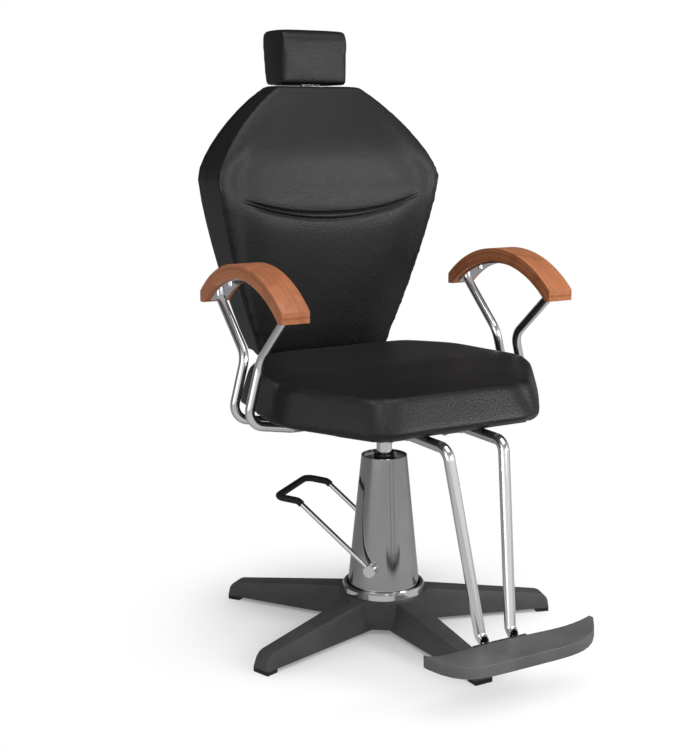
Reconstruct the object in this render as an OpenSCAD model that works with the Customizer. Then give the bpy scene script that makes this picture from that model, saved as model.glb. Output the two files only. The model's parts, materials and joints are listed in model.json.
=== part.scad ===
// Hydraulic barber chair with a reclining back, a sliding headrest and a pump pedal.
// Millimetres. +Z is up, the sitter faces -Y, and the lifting column stands on the Z axis
// with the floor at Z = 0. Rest pose: ram down, back upright, headrest down, pedal up.

/* [Star base] */
// Number of legs
leg_count = 5; // [5:1:6]
// Reach of a leg tip from the column axis
leg_reach = 350; // [320:5:400]
// Width of a leg along the bottom at its tip
leg_tip_w = 40; // [32:1:50]
// Width of a leg along the bottom at the hub
leg_root_w = 54; // [44:1:64]
// How much narrower a leg is along its top
leg_draft = 9; // [4:1:14]
// Height of a leg's top at its tip
leg_tip_h = 41; // [30:1:46]
// Height of the hub
hub_h = 72; // [64:1:84]
// How far the hub's flat sides stand out beyond the ring
hub_margin = 1; // [0.5:0.5:4]
// Height of the glides that the legs stand on
glide_h = 8; // [5:0.5:12]
// Length of a glide along its leg
glide_len = 26; // [18:1:34]

/* [Column] */
// Width of the chrome ring between its bore and its rim
ring_band = 8.3; // [6:0.1:12]
// Height of the chrome ring
ring_h = 16; // [10:1:20]
// Diameter of the cone cover at the hub
cover_base_d = 147; // [142:1:150]
// Diameter of the cone cover at its rim
cover_top_d = 91; // [86:1:100]
// Height of the cone cover
cover_h = 280; // [270:2:300]
// Wall of the cone cover
cover_wall = 2; // [1:0.25:3]
// Depth of the cap below the cover's rim
cap_drop = 5; // [5:1:14]
// Diameter of the lifting ram
ram_d = 31; // [26:0.5:34]
// Height of the ram's top end when the chair is down
ram_top = 418; // [406:1:422]
// Travel of the ram
lift = 140; // [100:5:144]
// Bore of the oil cylinder
cyl_bore = 54; // [48:1:58]
// Wall of the oil cylinder
cyl_wall = 9; // [6:0.5:10]
// Gap between the cone cover's foot and the pump body
pump_gap = 20.5; // [20:0.5:24]
// Height of the pump body's top above the hub
pump_h = 84; // [82:1:90]

/* [Pedal] */
// Direction of the pedal, anticlockwise from +X
pedal_dir = 129; // [120:1:134]
// Height of the pedal shaft above the hub
shaft_up = 62; // [58:1:64]
// Diameter of the pedal shaft
shaft_d = 16; // [12:1:18]
// Gap between the cone cover and each eye of the pedal
pedal_gap = 4.7; // [3:0.1:10]
// Diameter of a pedal rod
pedal_rod_d = 10; // [8:0.5:11]
// Reach of the rods' shoulders from the shaft
shoulder_r = 154; // [140:2:170]
// Rise of the rods' shoulders above the shaft
shoulder_up = 126; // [110:2:134]
// Length of the grip beyond the shoulders
grip_len = 47; // [40:1:60]
// Outer diameter of the rubber grip
grip_d = 14; // [13:0.5:17]
// Diameter of the toothed end nuts
end_nut_d = 25; // [22:1:28]
// Reach of the finger that pushes the pump plunger
finger_r = 30; // [26:1:32]
// Diameter of the pump plunger
plunger_d = 14; // [10:1:16]

/* [Seat] */
// Height of the seat cushion's bottom edge
seat_z = 451; // [449:1:454]
// Height of the cushion's upper edge line above its bottom
seat_edge_h = 77; // [70:1:90]
// Crown of the cushion's top above the edge line
seat_crown = 8; // [4:1:14]
// Half width of the cushion at its widest
seat_half_w = 297; // [290:1:298]
// Half width of the cushion's flat front
seat_front_w = 170; // [150:1:174]
// Depth of the cushion in front of the column
seat_front = 272; // [258:2:272]
// Depth of the cushion behind the column
seat_rear = 228; // [220:2:234]
// Thickness of the seat board
board_t = 12; // [9:1:14]
// Thickness of the steel frame plate under the seat
frame_t = 6; // [4:0.5:8]
// Outer diameter of the hub socket
socket_d = 56; // [50:1:60]

/* [Arms] */
// How far the middle of an armrest stands inside the cushion's widest line
arm_inset = 7; // [4:0.5:9]
// Width of a wooden armrest
arm_w = 55; // [46:1:60]
// Radius of a wooden armrest's top
arm_r = 253; // [250:1:256]
// Radius of a wooden armrest's underside
arm_under_r = 233; // [231:0.5:234]
// Diameter of the arm tubes
arm_tube_d = 18; // [16:0.5:20]
// Distance between the two arm tubes at the waist
waist_gap = 64; // [60:2:80]
// Gap between the cushion's widest line and the arm tubes beside it
tube_gap = 14; // [10:1:20]
// Width of the steel strip under the wood
strip_w = 34; // [26:1:40]
// Thickness of the steel strip
strip_t = 4; // [3:0.5:5]

/* [Footrest] */
// Distance between the footrest tubes under the seat
foot_tube_gap = 122; // [110:2:130]
// Diameter of the footrest tubes
foot_tube_d = 21; // [18:0.5:22]
// Reach of the footrest tubes in front of the column
foot_reach = 310; // [300:2:326]
// Length of the foot plate
tread_len = 362; // [320:2:390]
// Width of the foot plate at its middle
tread_w = 87; // [76:1:92]
// Thickness of the foot plate
tread_t = 22; // [18:1:24]

/* [Back] */
// Height of the back's lower edge
back_z = 532; // [524:2:560]
// Height of the back at its widest
back_wide_z = 888; // [860:2:900]
// Height of the back's upper edge
back_top_z = 1070; // [1050:2:1070]
// Half width of the back at its lower edge
back_low_w = 150; // [140:2:170]
// Half width of the back at its widest
back_wide_w = 257; // [236:1:257]
// Half width of the back at its upper edge
back_top_w = 96; // [86:1:104]
// Thickness of the moulded rear cover
rear_cover_t = 10; // [9:0.5:12]
// Height of the recline axis
recline_z = 428; // [426:1:430]
// Distance of the recline axis behind the column
recline_y = 240; // [236:1:246]
// Diameter of the recline shaft
recline_d = 12; // [10:0.5:14]

/* [Headrest] */
// Width of the headrest
head_w = 154; // [130:2:180]
// Height of the headrest
head_h = 111; // [100:1:120]
// Gap between the back and the headrest when it is down
head_gap = 7; // [5:0.5:20]
// Width of the headrest bar
bar_w = 40; // [30:1:46]
// Thickness of the headrest bar
bar_t = 8; // [6:0.5:9]

/* [Hidden] */
$fn = 48;
// Radial clearance of a running fit, and of a fixed pin in its hole
run = 0.05;
seated = 0.02;
// Clear space around soft pieces
soft = 0.3;
// Overlap that keeps cuts open
eps = 1;

// ---- Helpers ----
function unit(v) = v / norm(v);
function turn(p, i) = acos(unit(p[i] - p[i - 1]) * unit(p[i + 1] - p[i]));
// A bend radius may be one number or a list with one for each point
function radius(r, i) = is_list(r) ? r[i] : r;
function trim_at(p, i, r) = i == 0 || i == len(p) - 1 ? 0 : radius(r, i) * tan(turn(p, i) / 2);
function stretched(p, e) = [for (i = [0 : len(p) - 1])
    i == 0 ? p[0] - e * unit(p[1] - p[0]) :
    i == len(p) - 1 ? p[i] + e * unit(p[i] - p[i - 1]) : p[i]];
function mirrored(p) = [for (q = p) [-q.x, q.y, q.z]];

// Stand a shape that rises along +Z along v instead
module along(v) rotate([0, acos(v.z / norm(v)), atan2(v.y, v.x)]) children();

module rod(a, b, d) translate(a) along(b - a) cylinder(h = norm(b - a), d = d);

// Round bar through the points p, with bends of radius r
module bent_rod(p, r, d) {
    for (i = [0 : len(p) - 2]) {
        u = unit(p[i + 1] - p[i]);
        rod(p[i] + u * trim_at(p, i, r), p[i + 1] - u * trim_at(p, i + 1, r), d);
    }
    for (i = [1 : len(p) - 2]) {
        u = unit(p[i] - p[i - 1]);
        v = unit(p[i + 1] - p[i]);
        w = unit(v - (u * v) * u);
        n = cross(u, w);
        c = p[i] - u * trim_at(p, i, r) + radius(r, i) * w;
        multmatrix([[-w.x, u.x, n.x, c.x], [-w.y, u.y, n.y, c.y], [-w.z, u.z, n.z, c.z], [0, 0, 0, 1]])
            rotate_extrude(angle = turn(p, i)) translate([radius(r, i), 0]) circle(d = d);
        seam(p[i] - u * trim_at(p, i, r), u, d);
        seam(p[i] + v * trim_at(p, i, r), v, d);
    }
}

// Hair-thin band that joins a straight length to a bend
module seam(at, v, d) translate(at) along(v) cylinder(h = 0.5, d = d + 0.04, center = true);

// The same bar with an open bore
module bent_tube(p, r, d, wall) difference() {
    bent_rod(p, r, d);
    bent_rod(stretched(p, eps), r, d - 2 * wall);
}

module each_side() for (s = [-1, 1]) scale([s, 1, 1]) children();

// Cylinder along X, centred on x
module x_disc(x, y, z, d, w) translate([x - w / 2, y, z]) rotate([0, 90, 0]) cylinder(h = w, d = d);

// Plate in the YZ plane from an outline of [y, z] points, from x0 to x1
module yz_plate(points, x0, x1)
    translate([x0, 0, 0]) rotate([90, 0, 90]) linear_extrude(x1 - x0) polygon(points);

// ---- Star base and ring ----
ring_play = 1.2;
ring_r = cover_base_d / 2 + ring_play + ring_band;
ring_edge = 3;
hub_flat = ring_r + hub_margin;
leg_step = 360 / leg_count;
leg_dir = -90;
flange_gap = 3.5;
flange_d = cover_base_d - 2 * (cover_wall + flange_gap);
pump_d = cover_base_d - 2 * (cover_wall + pump_gap);
bolt_count = leg_count;
bolt_d = 10;
bolt_head_d = 15;
bolt_head_h = 6;
bolt_depth = 34;
bolt_r = (pump_d + bolt_head_d) / 2 + 1.5;
// Steps round a leg's tip: distance from the tip, then share of the tip's height
nose = [[28, 1], [20, 0.97], [12, 0.87], [5, 0.68], [1.5, 0.49], [0.01, 0.26]];
hub_taper = 8;
hub_bottom_flat = hub_flat - hub_taper;

// How far the hub's underside stands above the underside of the legs
hub_relief = 3;

module leg_section(r, w, h) translate([r, 0, glide_h]) rotate([90, 0, 90]) linear_extrude(0.01)
    polygon([[-w / 2, 0], [w / 2, 0], [w / 2 - leg_draft / 2, h], [leg_draft / 2 - w / 2, h]]);

module leg() hull() {
    leg_section(40, leg_root_w, hub_h - 1 - glide_h);
    leg_section(hub_flat, leg_root_w, hub_h - 1 - glide_h);
    for (n = nose) leg_section(leg_reach - n[0], leg_tip_w - 2 * (1 - n[1]), (leg_tip_h - glide_h) * n[1]);
}

module star_base() color([0.14, 0.14, 0.15]) difference() {
    union() {
        for (k = [0 : leg_count - 1]) rotate([0, 0, leg_dir + k * leg_step]) leg();
        difference() {
            rotate([0, 0, leg_dir]) translate([0, 0, glide_h + hub_relief])
                cylinder(h = hub_h - glide_h - hub_relief, r = hub_flat / cos(leg_step / 2), $fn = leg_count);
            for (k = [0 : leg_count - 1]) rotate([0, 0, leg_dir + (k + 0.5) * leg_step])
                translate([hub_bottom_flat, 0, 0])
                    rotate([0, atan((hub_flat - hub_bottom_flat) / (hub_h - glide_h)), 0])
                        translate([0, -hub_flat, 0]) cube([60, 2 * hub_flat, 2 * hub_h]);
        }
    }
    pump_bolt_places() translate([0, 0, -bolt_depth]) cylinder(h = bolt_depth + eps, d = bolt_d + 2 * seated);
}

glide_inset = 1.5;

module foot_glides() color([0.1, 0.1, 0.1])
    for (k = [0 : leg_count - 1]) rotate([0, 0, leg_dir + k * leg_step])
        translate([leg_reach - glide_len, glide_inset - leg_tip_w / 2, 0])
            cube([glide_len, leg_tip_w - 2 * glide_inset, glide_h]);

module base_ring() color([0.85, 0.85, 0.87]) translate([0, 0, hub_h]) rotate_extrude()
    polygon([[cover_base_d / 2 + ring_play, 0], [ring_r - 1, 0], [ring_r, 1], [ring_r, ring_h - ring_edge - 1],
        [ring_r - ring_edge, ring_h], [cover_base_d / 2 + ring_play, ring_h]]);

// ---- Cone cover ----
rim_z = hub_h + cover_h;
cap_z = rim_z - cap_drop;
cap_t = 4;
function cover_r(z) = cover_base_d / 2 + (z - hub_h) * (cover_top_d - cover_base_d) / 2 / cover_h;

module column_cover() color([0.55, 0.55, 0.57]) difference() {
    translate([0, 0, hub_h]) rotate_extrude() polygon([
        [cover_base_d / 2 - cover_wall, 0], [cover_base_d / 2, 0],
        [cover_top_d / 2, cover_h], [cover_top_d / 2 - cover_wall, cover_h]]);
    at_pedal() each_end() translate([0, 0, 40]) cylinder(h = 60, d = bush_d + 2 * seated);
}

module cover_cap() color([0.55, 0.55, 0.57]) translate([0, 0, cap_z - cap_t]) difference() {
    cylinder(h = cap_t, r = cover_r(cap_z) - cover_wall - soft);
    translate([0, 0, -eps]) cylinder(h = cap_t + 2 * eps, d = wiper_d + 2 * seated);
}

// ---- Pump and ram ----
flange_t = 10;
pump_top = hub_h + pump_h;
shaft_z = hub_h + shaft_up;
gland_top = cap_z - cap_t;
gland_flange_t = 8;
gland_plug = 14;
piston_h = 15;
piston_gap = 4;
seal_h = 4;
seal_t = 3;
wiper_d = 42;
cyl_d = cyl_bore + 2 * cyl_wall;
ram_bottom = pump_top + piston_gap;
bush_d = 24;
boss_end = pump_d / 2 + 2;
pocket_w = 18;
finger_tip_d = 14;
finger_w = 16;
pocket_r = finger_r + finger_tip_d / 2 + 5;
pedal_travel = 28;
plunger_top = shaft_z - finger_tip_d / 2 - 0.3;
plunger_len = 34;
plunger_travel = finger_r * pedal_travel * PI / 180;

// Frame of the pedal shaft: origin on the column axis, X to the pedal, Y along the shaft
module at_pedal() translate([0, 0, shaft_z]) rotate([0, 0, pedal_dir]) children();
// Both ends of the shaft, each with its own +Z pointing out
module each_end() for (s = [-90, 90]) rotate([s, 0, 0]) children();

module pump_bolt_places() for (k = [0 : bolt_count - 1])
    rotate([0, 0, leg_dir + (k + 0.5) * leg_step]) translate([bolt_r, 0, hub_h]) children();

module pump_body() color([0.35, 0.36, 0.38]) difference() {
    union() {
        translate([0, 0, hub_h]) cylinder(h = flange_t, d = flange_d);
        translate([0, 0, hub_h]) cylinder(h = pump_h, d = pump_d);
        at_pedal() each_end() cylinder(h = boss_end, d = bush_d);
    }
    at_pedal() each_end() cylinder(h = boss_end + eps, d = shaft_d + 2 * run);
    at_pedal() translate([-shaft_d, -pocket_w / 2, -30]) cube([shaft_d + pocket_r, pocket_w, 45]);
    rotate([0, 0, pedal_dir]) translate([finger_r, 0, hub_h + 3]) cylinder(h = 50, d = plunger_d + 2 * run);
    pump_bolt_places() translate([0, 0, -eps]) cylinder(h = flange_t + 2 * eps, d = bolt_d + 2 * seated);
}

module pump_bolts() color([0.7, 0.7, 0.72]) pump_bolt_places() {
    translate([0, 0, -bolt_depth]) cylinder(h = bolt_depth + flange_t, d = bolt_d);
    translate([0, 0, flange_t]) cylinder(h = bolt_head_h, d = bolt_head_d);
}

module oil_cylinder() color([0.5, 0.5, 0.52]) translate([0, 0, pump_top]) difference() {
    cylinder(h = gland_top - gland_flange_t - pump_top, d = cyl_d);
    translate([0, 0, -eps]) cylinder(h = 300, d = cyl_bore);
}

module ram_gland() color([0.72, 0.6, 0.3]) difference() {
    union() {
        translate([0, 0, gland_top - gland_flange_t]) cylinder(h = gland_flange_t, d = cyl_d);
        translate([0, 0, gland_top - gland_flange_t - gland_plug])
            cylinder(h = gland_plug, d = cyl_bore - 2 * seated);
    }
    translate([0, 0, gland_top - 60]) cylinder(h = 70, d = ram_d + 2 * run);
}

module wiper_seal() color([0.05, 0.05, 0.05]) translate([0, 0, gland_top]) difference() {
    cylinder(h = cap_t + 5, d = wiper_d);
    translate([0, 0, -eps]) cylinder(h = 20, d = ram_d + 2 * run);
}

module lift_ram() color([0.9, 0.9, 0.92])
    translate([0, 0, ram_bottom + piston_h]) cylinder(h = ram_top - ram_bottom - piston_h, d = ram_d);

module ram_piston() color([0.6, 0.6, 0.62]) translate([0, 0, ram_bottom]) difference() {
    cylinder(h = piston_h, d = cyl_bore - 2 * run);
    translate([0, 0, (piston_h - seal_h) / 2]) difference() {
        cylinder(h = seal_h, d = cyl_bore + eps);
        translate([0, 0, -eps]) cylinder(h = seal_h + 2 * eps, d = cyl_bore - 2 * seal_t);
    }
}

module piston_seal() color([0.1, 0.1, 0.1]) translate([0, 0, ram_bottom + (piston_h - seal_h) / 2]) difference() {
    cylinder(h = seal_h, d = cyl_bore - 2 * seated);
    translate([0, 0, -eps]) cylinder(h = seal_h + 2 * eps, d = cyl_bore - 2 * seal_t);
}

// ---- Pedal ----
eye_d = 22;
eye_w = 10;
nut_t = 6;
nut_teeth = 10;
grip_lap = 10;
grip_rise = 4;
pedal_bend = 16;
pedal_y = cover_r(shaft_z) + pedal_gap + eye_w / 2;
pedal_w = 2 * pedal_y;
pedal_path = [[0, pedal_y, 0], [shoulder_r, pedal_y, shoulder_up],
    [shoulder_r + grip_len, pedal_y, shoulder_up + grip_rise],
    [shoulder_r + grip_len, -pedal_y, shoulder_up + grip_rise],
    [shoulder_r, -pedal_y, shoulder_up], [0, -pedal_y, 0]];
slope = unit([shoulder_r, 0, shoulder_up]);
grip_path = [for (i = [0 : 5]) i == 0 || i == 5
    ? [0, pedal_path[i].y, 0] + slope * (norm([shoulder_r, shoulder_up]) - grip_lap)
    : pedal_path[i]];

module pedal_bushes() color([0.7, 0.7, 0.72]) at_pedal() each_end() translate([0, 0, boss_end]) difference() {
    cylinder(h = pedal_y - eye_w / 2 - boss_end, d = bush_d);
    translate([0, 0, -eps]) cylinder(h = 60, d = shaft_d + 2 * run);
}

module pedal_shaft() color([0.75, 0.75, 0.77]) at_pedal() rotate([90, 0, 0])
    cylinder(h = pedal_w + eye_w, d = shaft_d, center = true);

module pump_finger() color([0.55, 0.55, 0.57]) at_pedal() rotate([90, 0, 0]) difference() {
    union() {
        cylinder(h = finger_w, d = shaft_d + 10, center = true);
        translate([0, -finger_tip_d / 2, -finger_w / 2]) cube([finger_r, finger_tip_d, finger_w]);
        translate([finger_r, 0, 0]) cylinder(h = finger_w, d = finger_tip_d, center = true);
    }
    cylinder(h = finger_w + 2 * eps, d = shaft_d + 2 * seated, center = true);
}

module pedal_fork() color([0.88, 0.88, 0.9]) at_pedal() difference() {
    union() {
        bent_rod(pedal_path, pedal_bend, pedal_rod_d);
        each_end() translate([0, 0, pedal_y - eye_w / 2]) cylinder(h = eye_w, d = eye_d);
    }
    rotate([90, 0, 0]) cylinder(h = pedal_w + eye_w + 2 * eps, d = shaft_d + 2 * seated, center = true);
}

module pedal_grip() color([0.06, 0.06, 0.06]) at_pedal() difference() {
    bent_rod(grip_path, pedal_bend, grip_d);
    bent_rod(stretched(grip_path, eps), pedal_bend, pedal_rod_d + 2 * seated);
}

module pedal_end_nuts() color([0.92, 0.92, 0.94]) at_pedal() each_end()
    translate([0, 0, pedal_y + eye_w / 2]) difference() {
        cylinder(h = nut_t, d = end_nut_d);
        for (k = [0 : nut_teeth - 1]) rotate([0, 0, k * 360 / nut_teeth])
            translate([end_nut_d / 2 + 1, 0, -eps]) cylinder(h = nut_t + 2 * eps, d = 5);
    }

module pump_plunger() color([0.8, 0.8, 0.82]) rotate([0, 0, pedal_dir])
    translate([finger_r, 0, plunger_top - plunger_len]) cylinder(h = plunger_len, d = plunger_d);

// ---- Seat frame ----
board_z = seat_z - 2;
tube_z = board_z - arm_tube_d / 2;
frame_top = board_z - arm_tube_d;
frame_z = frame_top - frame_t;
washer_t = frame_z - ram_top;
socket_wall_d = 40;
socket_h = 22;
socket_flange_d = 116;
socket_flange_t = 6;
socket_bolt_d = 8;
socket_bolt_r = 44;
plate_x = 92;
plate_y = 76;
rail_w = 30;
rail_x = 75;
spacer_d = 16;
frame_bolt_d = 8;
frame_bolt_head_d = 13;
frame_bolt_head_h = 5;
frame_bolt_grip = 9;
frame_bolt_places = [[80, -62], [80, 62], [90, 190]];
ear_t = 6;
ear_x = rail_x + rail_w - ear_t;
ear_d = 24;
washer_gap = 1.5;
bracket_x = ear_x + ear_t + washer_gap;
rail_end = recline_y - ear_d / 2;

module swivel_bush() color([0.75, 0.62, 0.3]) translate([0, 0, frame_z - socket_h]) difference() {
    cylinder(h = socket_h - washer_t, d = socket_wall_d - 2 * seated);
    translate([0, 0, -eps]) cylinder(h = 40, d = ram_d + 2 * run);
}

module thrust_washer() color([0.75, 0.62, 0.3])
    translate([0, 0, ram_top]) cylinder(h = washer_t, d = socket_wall_d - 2 * seated);

module socket_bolt_places() for (a = [45 : 90 : 315])
    rotate([0, 0, a]) translate([socket_bolt_r, 0, frame_z - socket_flange_t]) children();

module seat_socket() color([0.12, 0.12, 0.13]) difference() {
    union() {
        translate([0, 0, frame_z - socket_h]) cylinder(h = socket_h, d = socket_d);
        translate([0, 0, frame_z - socket_flange_t]) cylinder(h = socket_flange_t, d = socket_flange_d);
    }
    translate([0, 0, frame_z - socket_h - eps]) cylinder(h = socket_h + 2 * eps, d = socket_wall_d);
    socket_bolt_places() translate([0, 0, -eps])
        cylinder(h = socket_flange_t + 2 * eps, d = socket_bolt_d + 2 * seated);
}

module socket_bolts() color([0.6, 0.6, 0.62]) socket_bolt_places() {
    cylinder(h = socket_flange_t + frame_t, d = socket_bolt_d);
    translate([0, 0, -5]) cylinder(h = 5, d = 13);
}

module seat_frame() color([0.13, 0.13, 0.14]) difference() {
    union() {
        translate([-plate_x, -plate_y, frame_z]) cube([2 * plate_x, 2 * plate_y, frame_t]);
        each_side() {
            translate([rail_x, 0, frame_z]) cube([rail_w, rail_end, frame_t]);
            translate([ear_x, rail_end - 24, recline_z - ear_d / 2])
                cube([ear_t, recline_y - rail_end + 24, ear_d]);
            x_disc(ear_x + ear_t / 2, recline_y, recline_z, ear_d, ear_t);
        }
        translate([-rail_x - 1, rail_end - rail_w, frame_z]) cube([2 * rail_x + 2, rail_w, frame_t]);
    }
    each_side() x_disc(ear_x + ear_t / 2, recline_y, recline_z, recline_d + 2 * seated, ear_t + 2 * eps);
    socket_bolt_places() cylinder(h = 30, d = socket_bolt_d + 2 * seated);
    each_side() for (b = frame_bolt_places) translate([b.x, b.y, frame_z - eps])
        cylinder(h = frame_t + 2 * eps, d = frame_bolt_d + 2 * seated);
}

module frame_spacers() color([0.65, 0.65, 0.67]) each_side() for (b = frame_bolt_places)
    translate([b.x, b.y, frame_top]) difference() {
        cylinder(h = board_z - frame_top, d = spacer_d);
        translate([0, 0, -eps]) cylinder(h = 40, d = frame_bolt_d + 2 * seated);
    }

module frame_bolts() color([0.6, 0.6, 0.62]) each_side() for (b = frame_bolt_places) translate([b.x, b.y, 0]) {
    translate([0, 0, frame_z]) cylinder(h = board_z + frame_bolt_grip - frame_z, d = frame_bolt_d);
    translate([0, 0, frame_z - frame_bolt_head_h]) cylinder(h = frame_bolt_head_h, d = frame_bolt_head_d);
}

// ---- Seat ----
board_inset = 25;
board_side_inset = 85;
seat_side_front = 105;
seat_side_rear = 112;
seat_taper = 34;
seat_rear_w = 168;
seat_wide_h = 16;
seat_side_rise = 15;
// Insets of the cushion's bottom, edge line and crown: at front and rear, then at the sides
seat_bottom_in = [14, 75];
seat_edge_in = [26, 18];
seat_crown_in = [70, 60];
seat_front_edge_in = 32;

// Eight-sided plan of the seat, drawn in by d at front and rear and by s at the sides
function seat_plan(d, s) = let (w = seat_half_w - s, f = seat_front_w - d * 0.4, b = seat_rear_w - d * 0.4)
    [[-f, d - seat_front], [f, d - seat_front], [w, d * 0.4 - seat_side_front], [w - seat_taper, seat_side_rear - d * 0.4],
        [b, seat_rear - d], [-b, seat_rear - d], [seat_taper - w, seat_side_rear - d * 0.4],
        [-w, d * 0.4 - seat_side_front]];

// Hair-thin slice of that plan; first = 2 leaves out the two front corners
module seat_slice(inset, z, first = 0) translate([0, 0, z]) linear_extrude(0.01)
    polygon([for (i = [first : 7]) seat_plan(inset[0], inset[1])[i]]);

module seat_board() color([0.12, 0.11, 0.1]) difference() {
    translate([0, 0, board_z]) linear_extrude(board_t) polygon(seat_plan(board_inset, board_side_inset));
    each_side() {
        for (b = frame_bolt_places) translate([b.x, b.y, board_z - eps])
            cylinder(h = frame_bolt_grip + eps, d = frame_bolt_d + 2 * seated);
        clamp_screw_places() translate([0, 0, -eps]) cylinder(h = clamp_grip + eps, d = clamp_screw_d + 2 * seated);
    }
}

module seat_cushion() color([0.1, 0.1, 0.1]) difference() {
    hull() {
        seat_slice(seat_bottom_in, seat_z);
        seat_slice([0, 0], seat_z + seat_wide_h);
        translate([4 - seat_front_w, seat_front_edge_in - seat_front, seat_z + seat_edge_h])
            cube([2 * seat_front_w - 8, 1, 0.01]);
        seat_slice(seat_edge_in, seat_z + seat_edge_h + seat_side_rise, 2);
        seat_slice(seat_crown_in, seat_z + seat_edge_h + seat_side_rise + seat_crown, 2);
    }
    translate([0, 0, seat_z - eps]) linear_extrude(board_z + board_t + soft - seat_z + eps)
        polygon(seat_plan(board_inset - soft, board_side_inset - soft));
}

// ---- Arms ----
arm_x = seat_half_w - arm_inset;
arm_y = -5;
arm_z = 496;
arm_under_z = 489.5;
arm_front = -177;
arm_rear = 167;
arm_end_z = 661;
tube_wall = 1.6;
tube_bend = 44;
foot_corner_bend = 30;
run_bend = 60;
waist_z = 574;
tube_foot = [seat_half_w + tube_gap + arm_tube_d / 2, board_z + 7];
tube_under_x = tube_foot.x - 95;
strip_half = 40;
front_top = [arm_x, -155, 677];
rear_top = [arm_x, 142, 679];
arm_screw_d = 5;
arm_screw_grip = 11;
arm_screw_at = [-24, 24];

// One arm tube from armrest to armrest, under the seat; side is -1 at the front and 1 at the rear
module arm_tube(top, side) {
    y = arm_y + side * waist_gap / 2;
    half = [top, [arm_x, y, waist_z], [tube_foot.x, y, tube_foot.y], [tube_under_x, y, tube_z]];
    path = concat(half, [for (i = [3 : -1 : 0]) mirrored(half)[i]]);
    bends = [0, tube_bend, foot_corner_bend, run_bend, run_bend, foot_corner_bend, tube_bend, 0];
    color([0.88, 0.88, 0.9]) intersection() {
        bent_tube(path, bends, arm_tube_d, tube_wall);
        x_disc(0, arm_y, arm_under_z, 2 * (arm_under_r - strip_t), 800);
    }
}

module front_arm_tube() arm_tube(front_top, -1);
module rear_arm_tube() arm_tube(rear_top, 1);

module at_arm_screws() for (a = arm_screw_at)
    translate([0, arm_y, arm_under_z]) rotate([-a, 0, 0]) translate([0, 0, arm_under_r]) children();

module arm_strip(x) color([0.85, 0.85, 0.87]) difference() {
    x_disc(x, arm_y, arm_under_z, 2 * arm_under_r, strip_w);
    x_disc(x, arm_y, arm_under_z, 2 * (arm_under_r - strip_t), strip_w + 2 * eps);
    translate([x - strip_w, arm_y, arm_under_z]) {
        for (s = [-1, 1]) rotate([s * strip_half, 0, 0])
            translate([0, s < 0 ? 0 : -2 * arm_r, -arm_r]) cube([2 * strip_w, 2 * arm_r, 2 * arm_r + eps]);
        translate([0, -arm_r, -arm_r]) cube([2 * strip_w, 2 * arm_r, arm_r]);
    }
    translate([x, 0, 0]) at_arm_screws()
        translate([0, 0, -2 * strip_t]) cylinder(h = 4 * strip_t, d = arm_screw_d + 2 * seated);
}

module left_arm_strip() arm_strip(-arm_x);
module right_arm_strip() arm_strip(arm_x);

module armrest(x) color([0.6, 0.34, 0.22]) difference() {
    intersection() {
        x_disc(x, arm_y, arm_z, 2 * arm_r, arm_w);
        translate([x - arm_w, arm_front, arm_end_z]) cube([2 * arm_w, arm_rear - arm_front, 200]);
    }
    x_disc(x, arm_y, arm_under_z, 2 * arm_under_r, arm_w + 2 * eps);
    translate([x, 0, 0]) at_arm_screws()
        translate([0, 0, -eps]) cylinder(h = arm_screw_grip + 2 * eps, d = arm_screw_d + 2 * seated);
}

module left_armrest() armrest(-arm_x);
module right_armrest() armrest(arm_x);

module armrest_screws() color([0.8, 0.8, 0.82]) for (x = [-arm_x, arm_x]) translate([x, 0, 0]) at_arm_screws() {
    translate([0, 0, -strip_t]) cylinder(h = strip_t + arm_screw_grip, d = arm_screw_d);
    translate([0, 0, -strip_t - screw_head_h]) cylinder(h = screw_head_h, d = 2 * arm_screw_d);
}

// ---- Footrest ----
foot_x = foot_tube_gap / 2;
foot_z = board_z - foot_tube_d / 2;
foot_wall = 1.8;
foot_bends = [0, 25, 14, 0];
foot_inner_y = -plate_y - 4;
knee = [33, -380, 112];
clamp_y = [-150, -95];
clamp_w = 52;
clamp_len = 22;
clamp_base = 6;
clamp_screw_d = 6;
clamp_grip = 9;
clamp_screw_x = 19;
tread_top = [0, -396, 101];
tread_pitch = -3;
tread_rise = 19;
tread_front_sweep = 50;
tread_rear_sweep = 26;
bracket_t = 4;
bracket_w = 116;
bracket_leg = 36;
tread_screw_d = 5;
tread_screw_places = [[-45, 24], [45, 24]];
tread_x = [for (i = [-12 : 12]) i / 12];

// Frame of the foot plate: origin at the middle of its upper rear edge, -Y to its front
module at_tread() translate(tread_top) rotate([tread_pitch, 0, 0]) children();

module foot_tube(s) {
    seat_end = [s * foot_x, foot_inner_y, foot_z];
    top = [s * foot_x, -foot_reach, foot_z];
    low = [s * knee.x, knee.y, knee.z];
    end = tread_top + [s * (knee.x - 1.5), -10, -tread_t / 2];
    color([0.88, 0.88, 0.9]) difference() {
        bent_tube([seat_end, top, low, end], foot_bends, foot_tube_d, foot_wall);
        at_tread() translate([-200, -100, -60]) cube([400, 100 + bracket_t, 120]);
    }
}

module left_foot_tube() foot_tube(-1);
module right_foot_tube() foot_tube(1);

module clamp_screw_places() for (y = clamp_y) for (s = [-1, 1])
    translate([foot_x + s * clamp_screw_x, y, board_z]) children();

module footrest_clamps() color([0.12, 0.12, 0.13]) each_side() difference() {
    for (y = clamp_y) translate([foot_x - clamp_w / 2, y - clamp_len / 2, foot_z - foot_tube_d / 2 - clamp_base])
        cube([clamp_w, clamp_len, foot_tube_d + clamp_base]);
    translate([foot_x, 0, foot_z]) rotate([90, 0, 0]) cylinder(h = 300, d = foot_tube_d + 2 * seated);
    clamp_screw_places() translate([0, 0, -60]) cylinder(h = 70, d = clamp_screw_d + 2 * seated);
}

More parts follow.
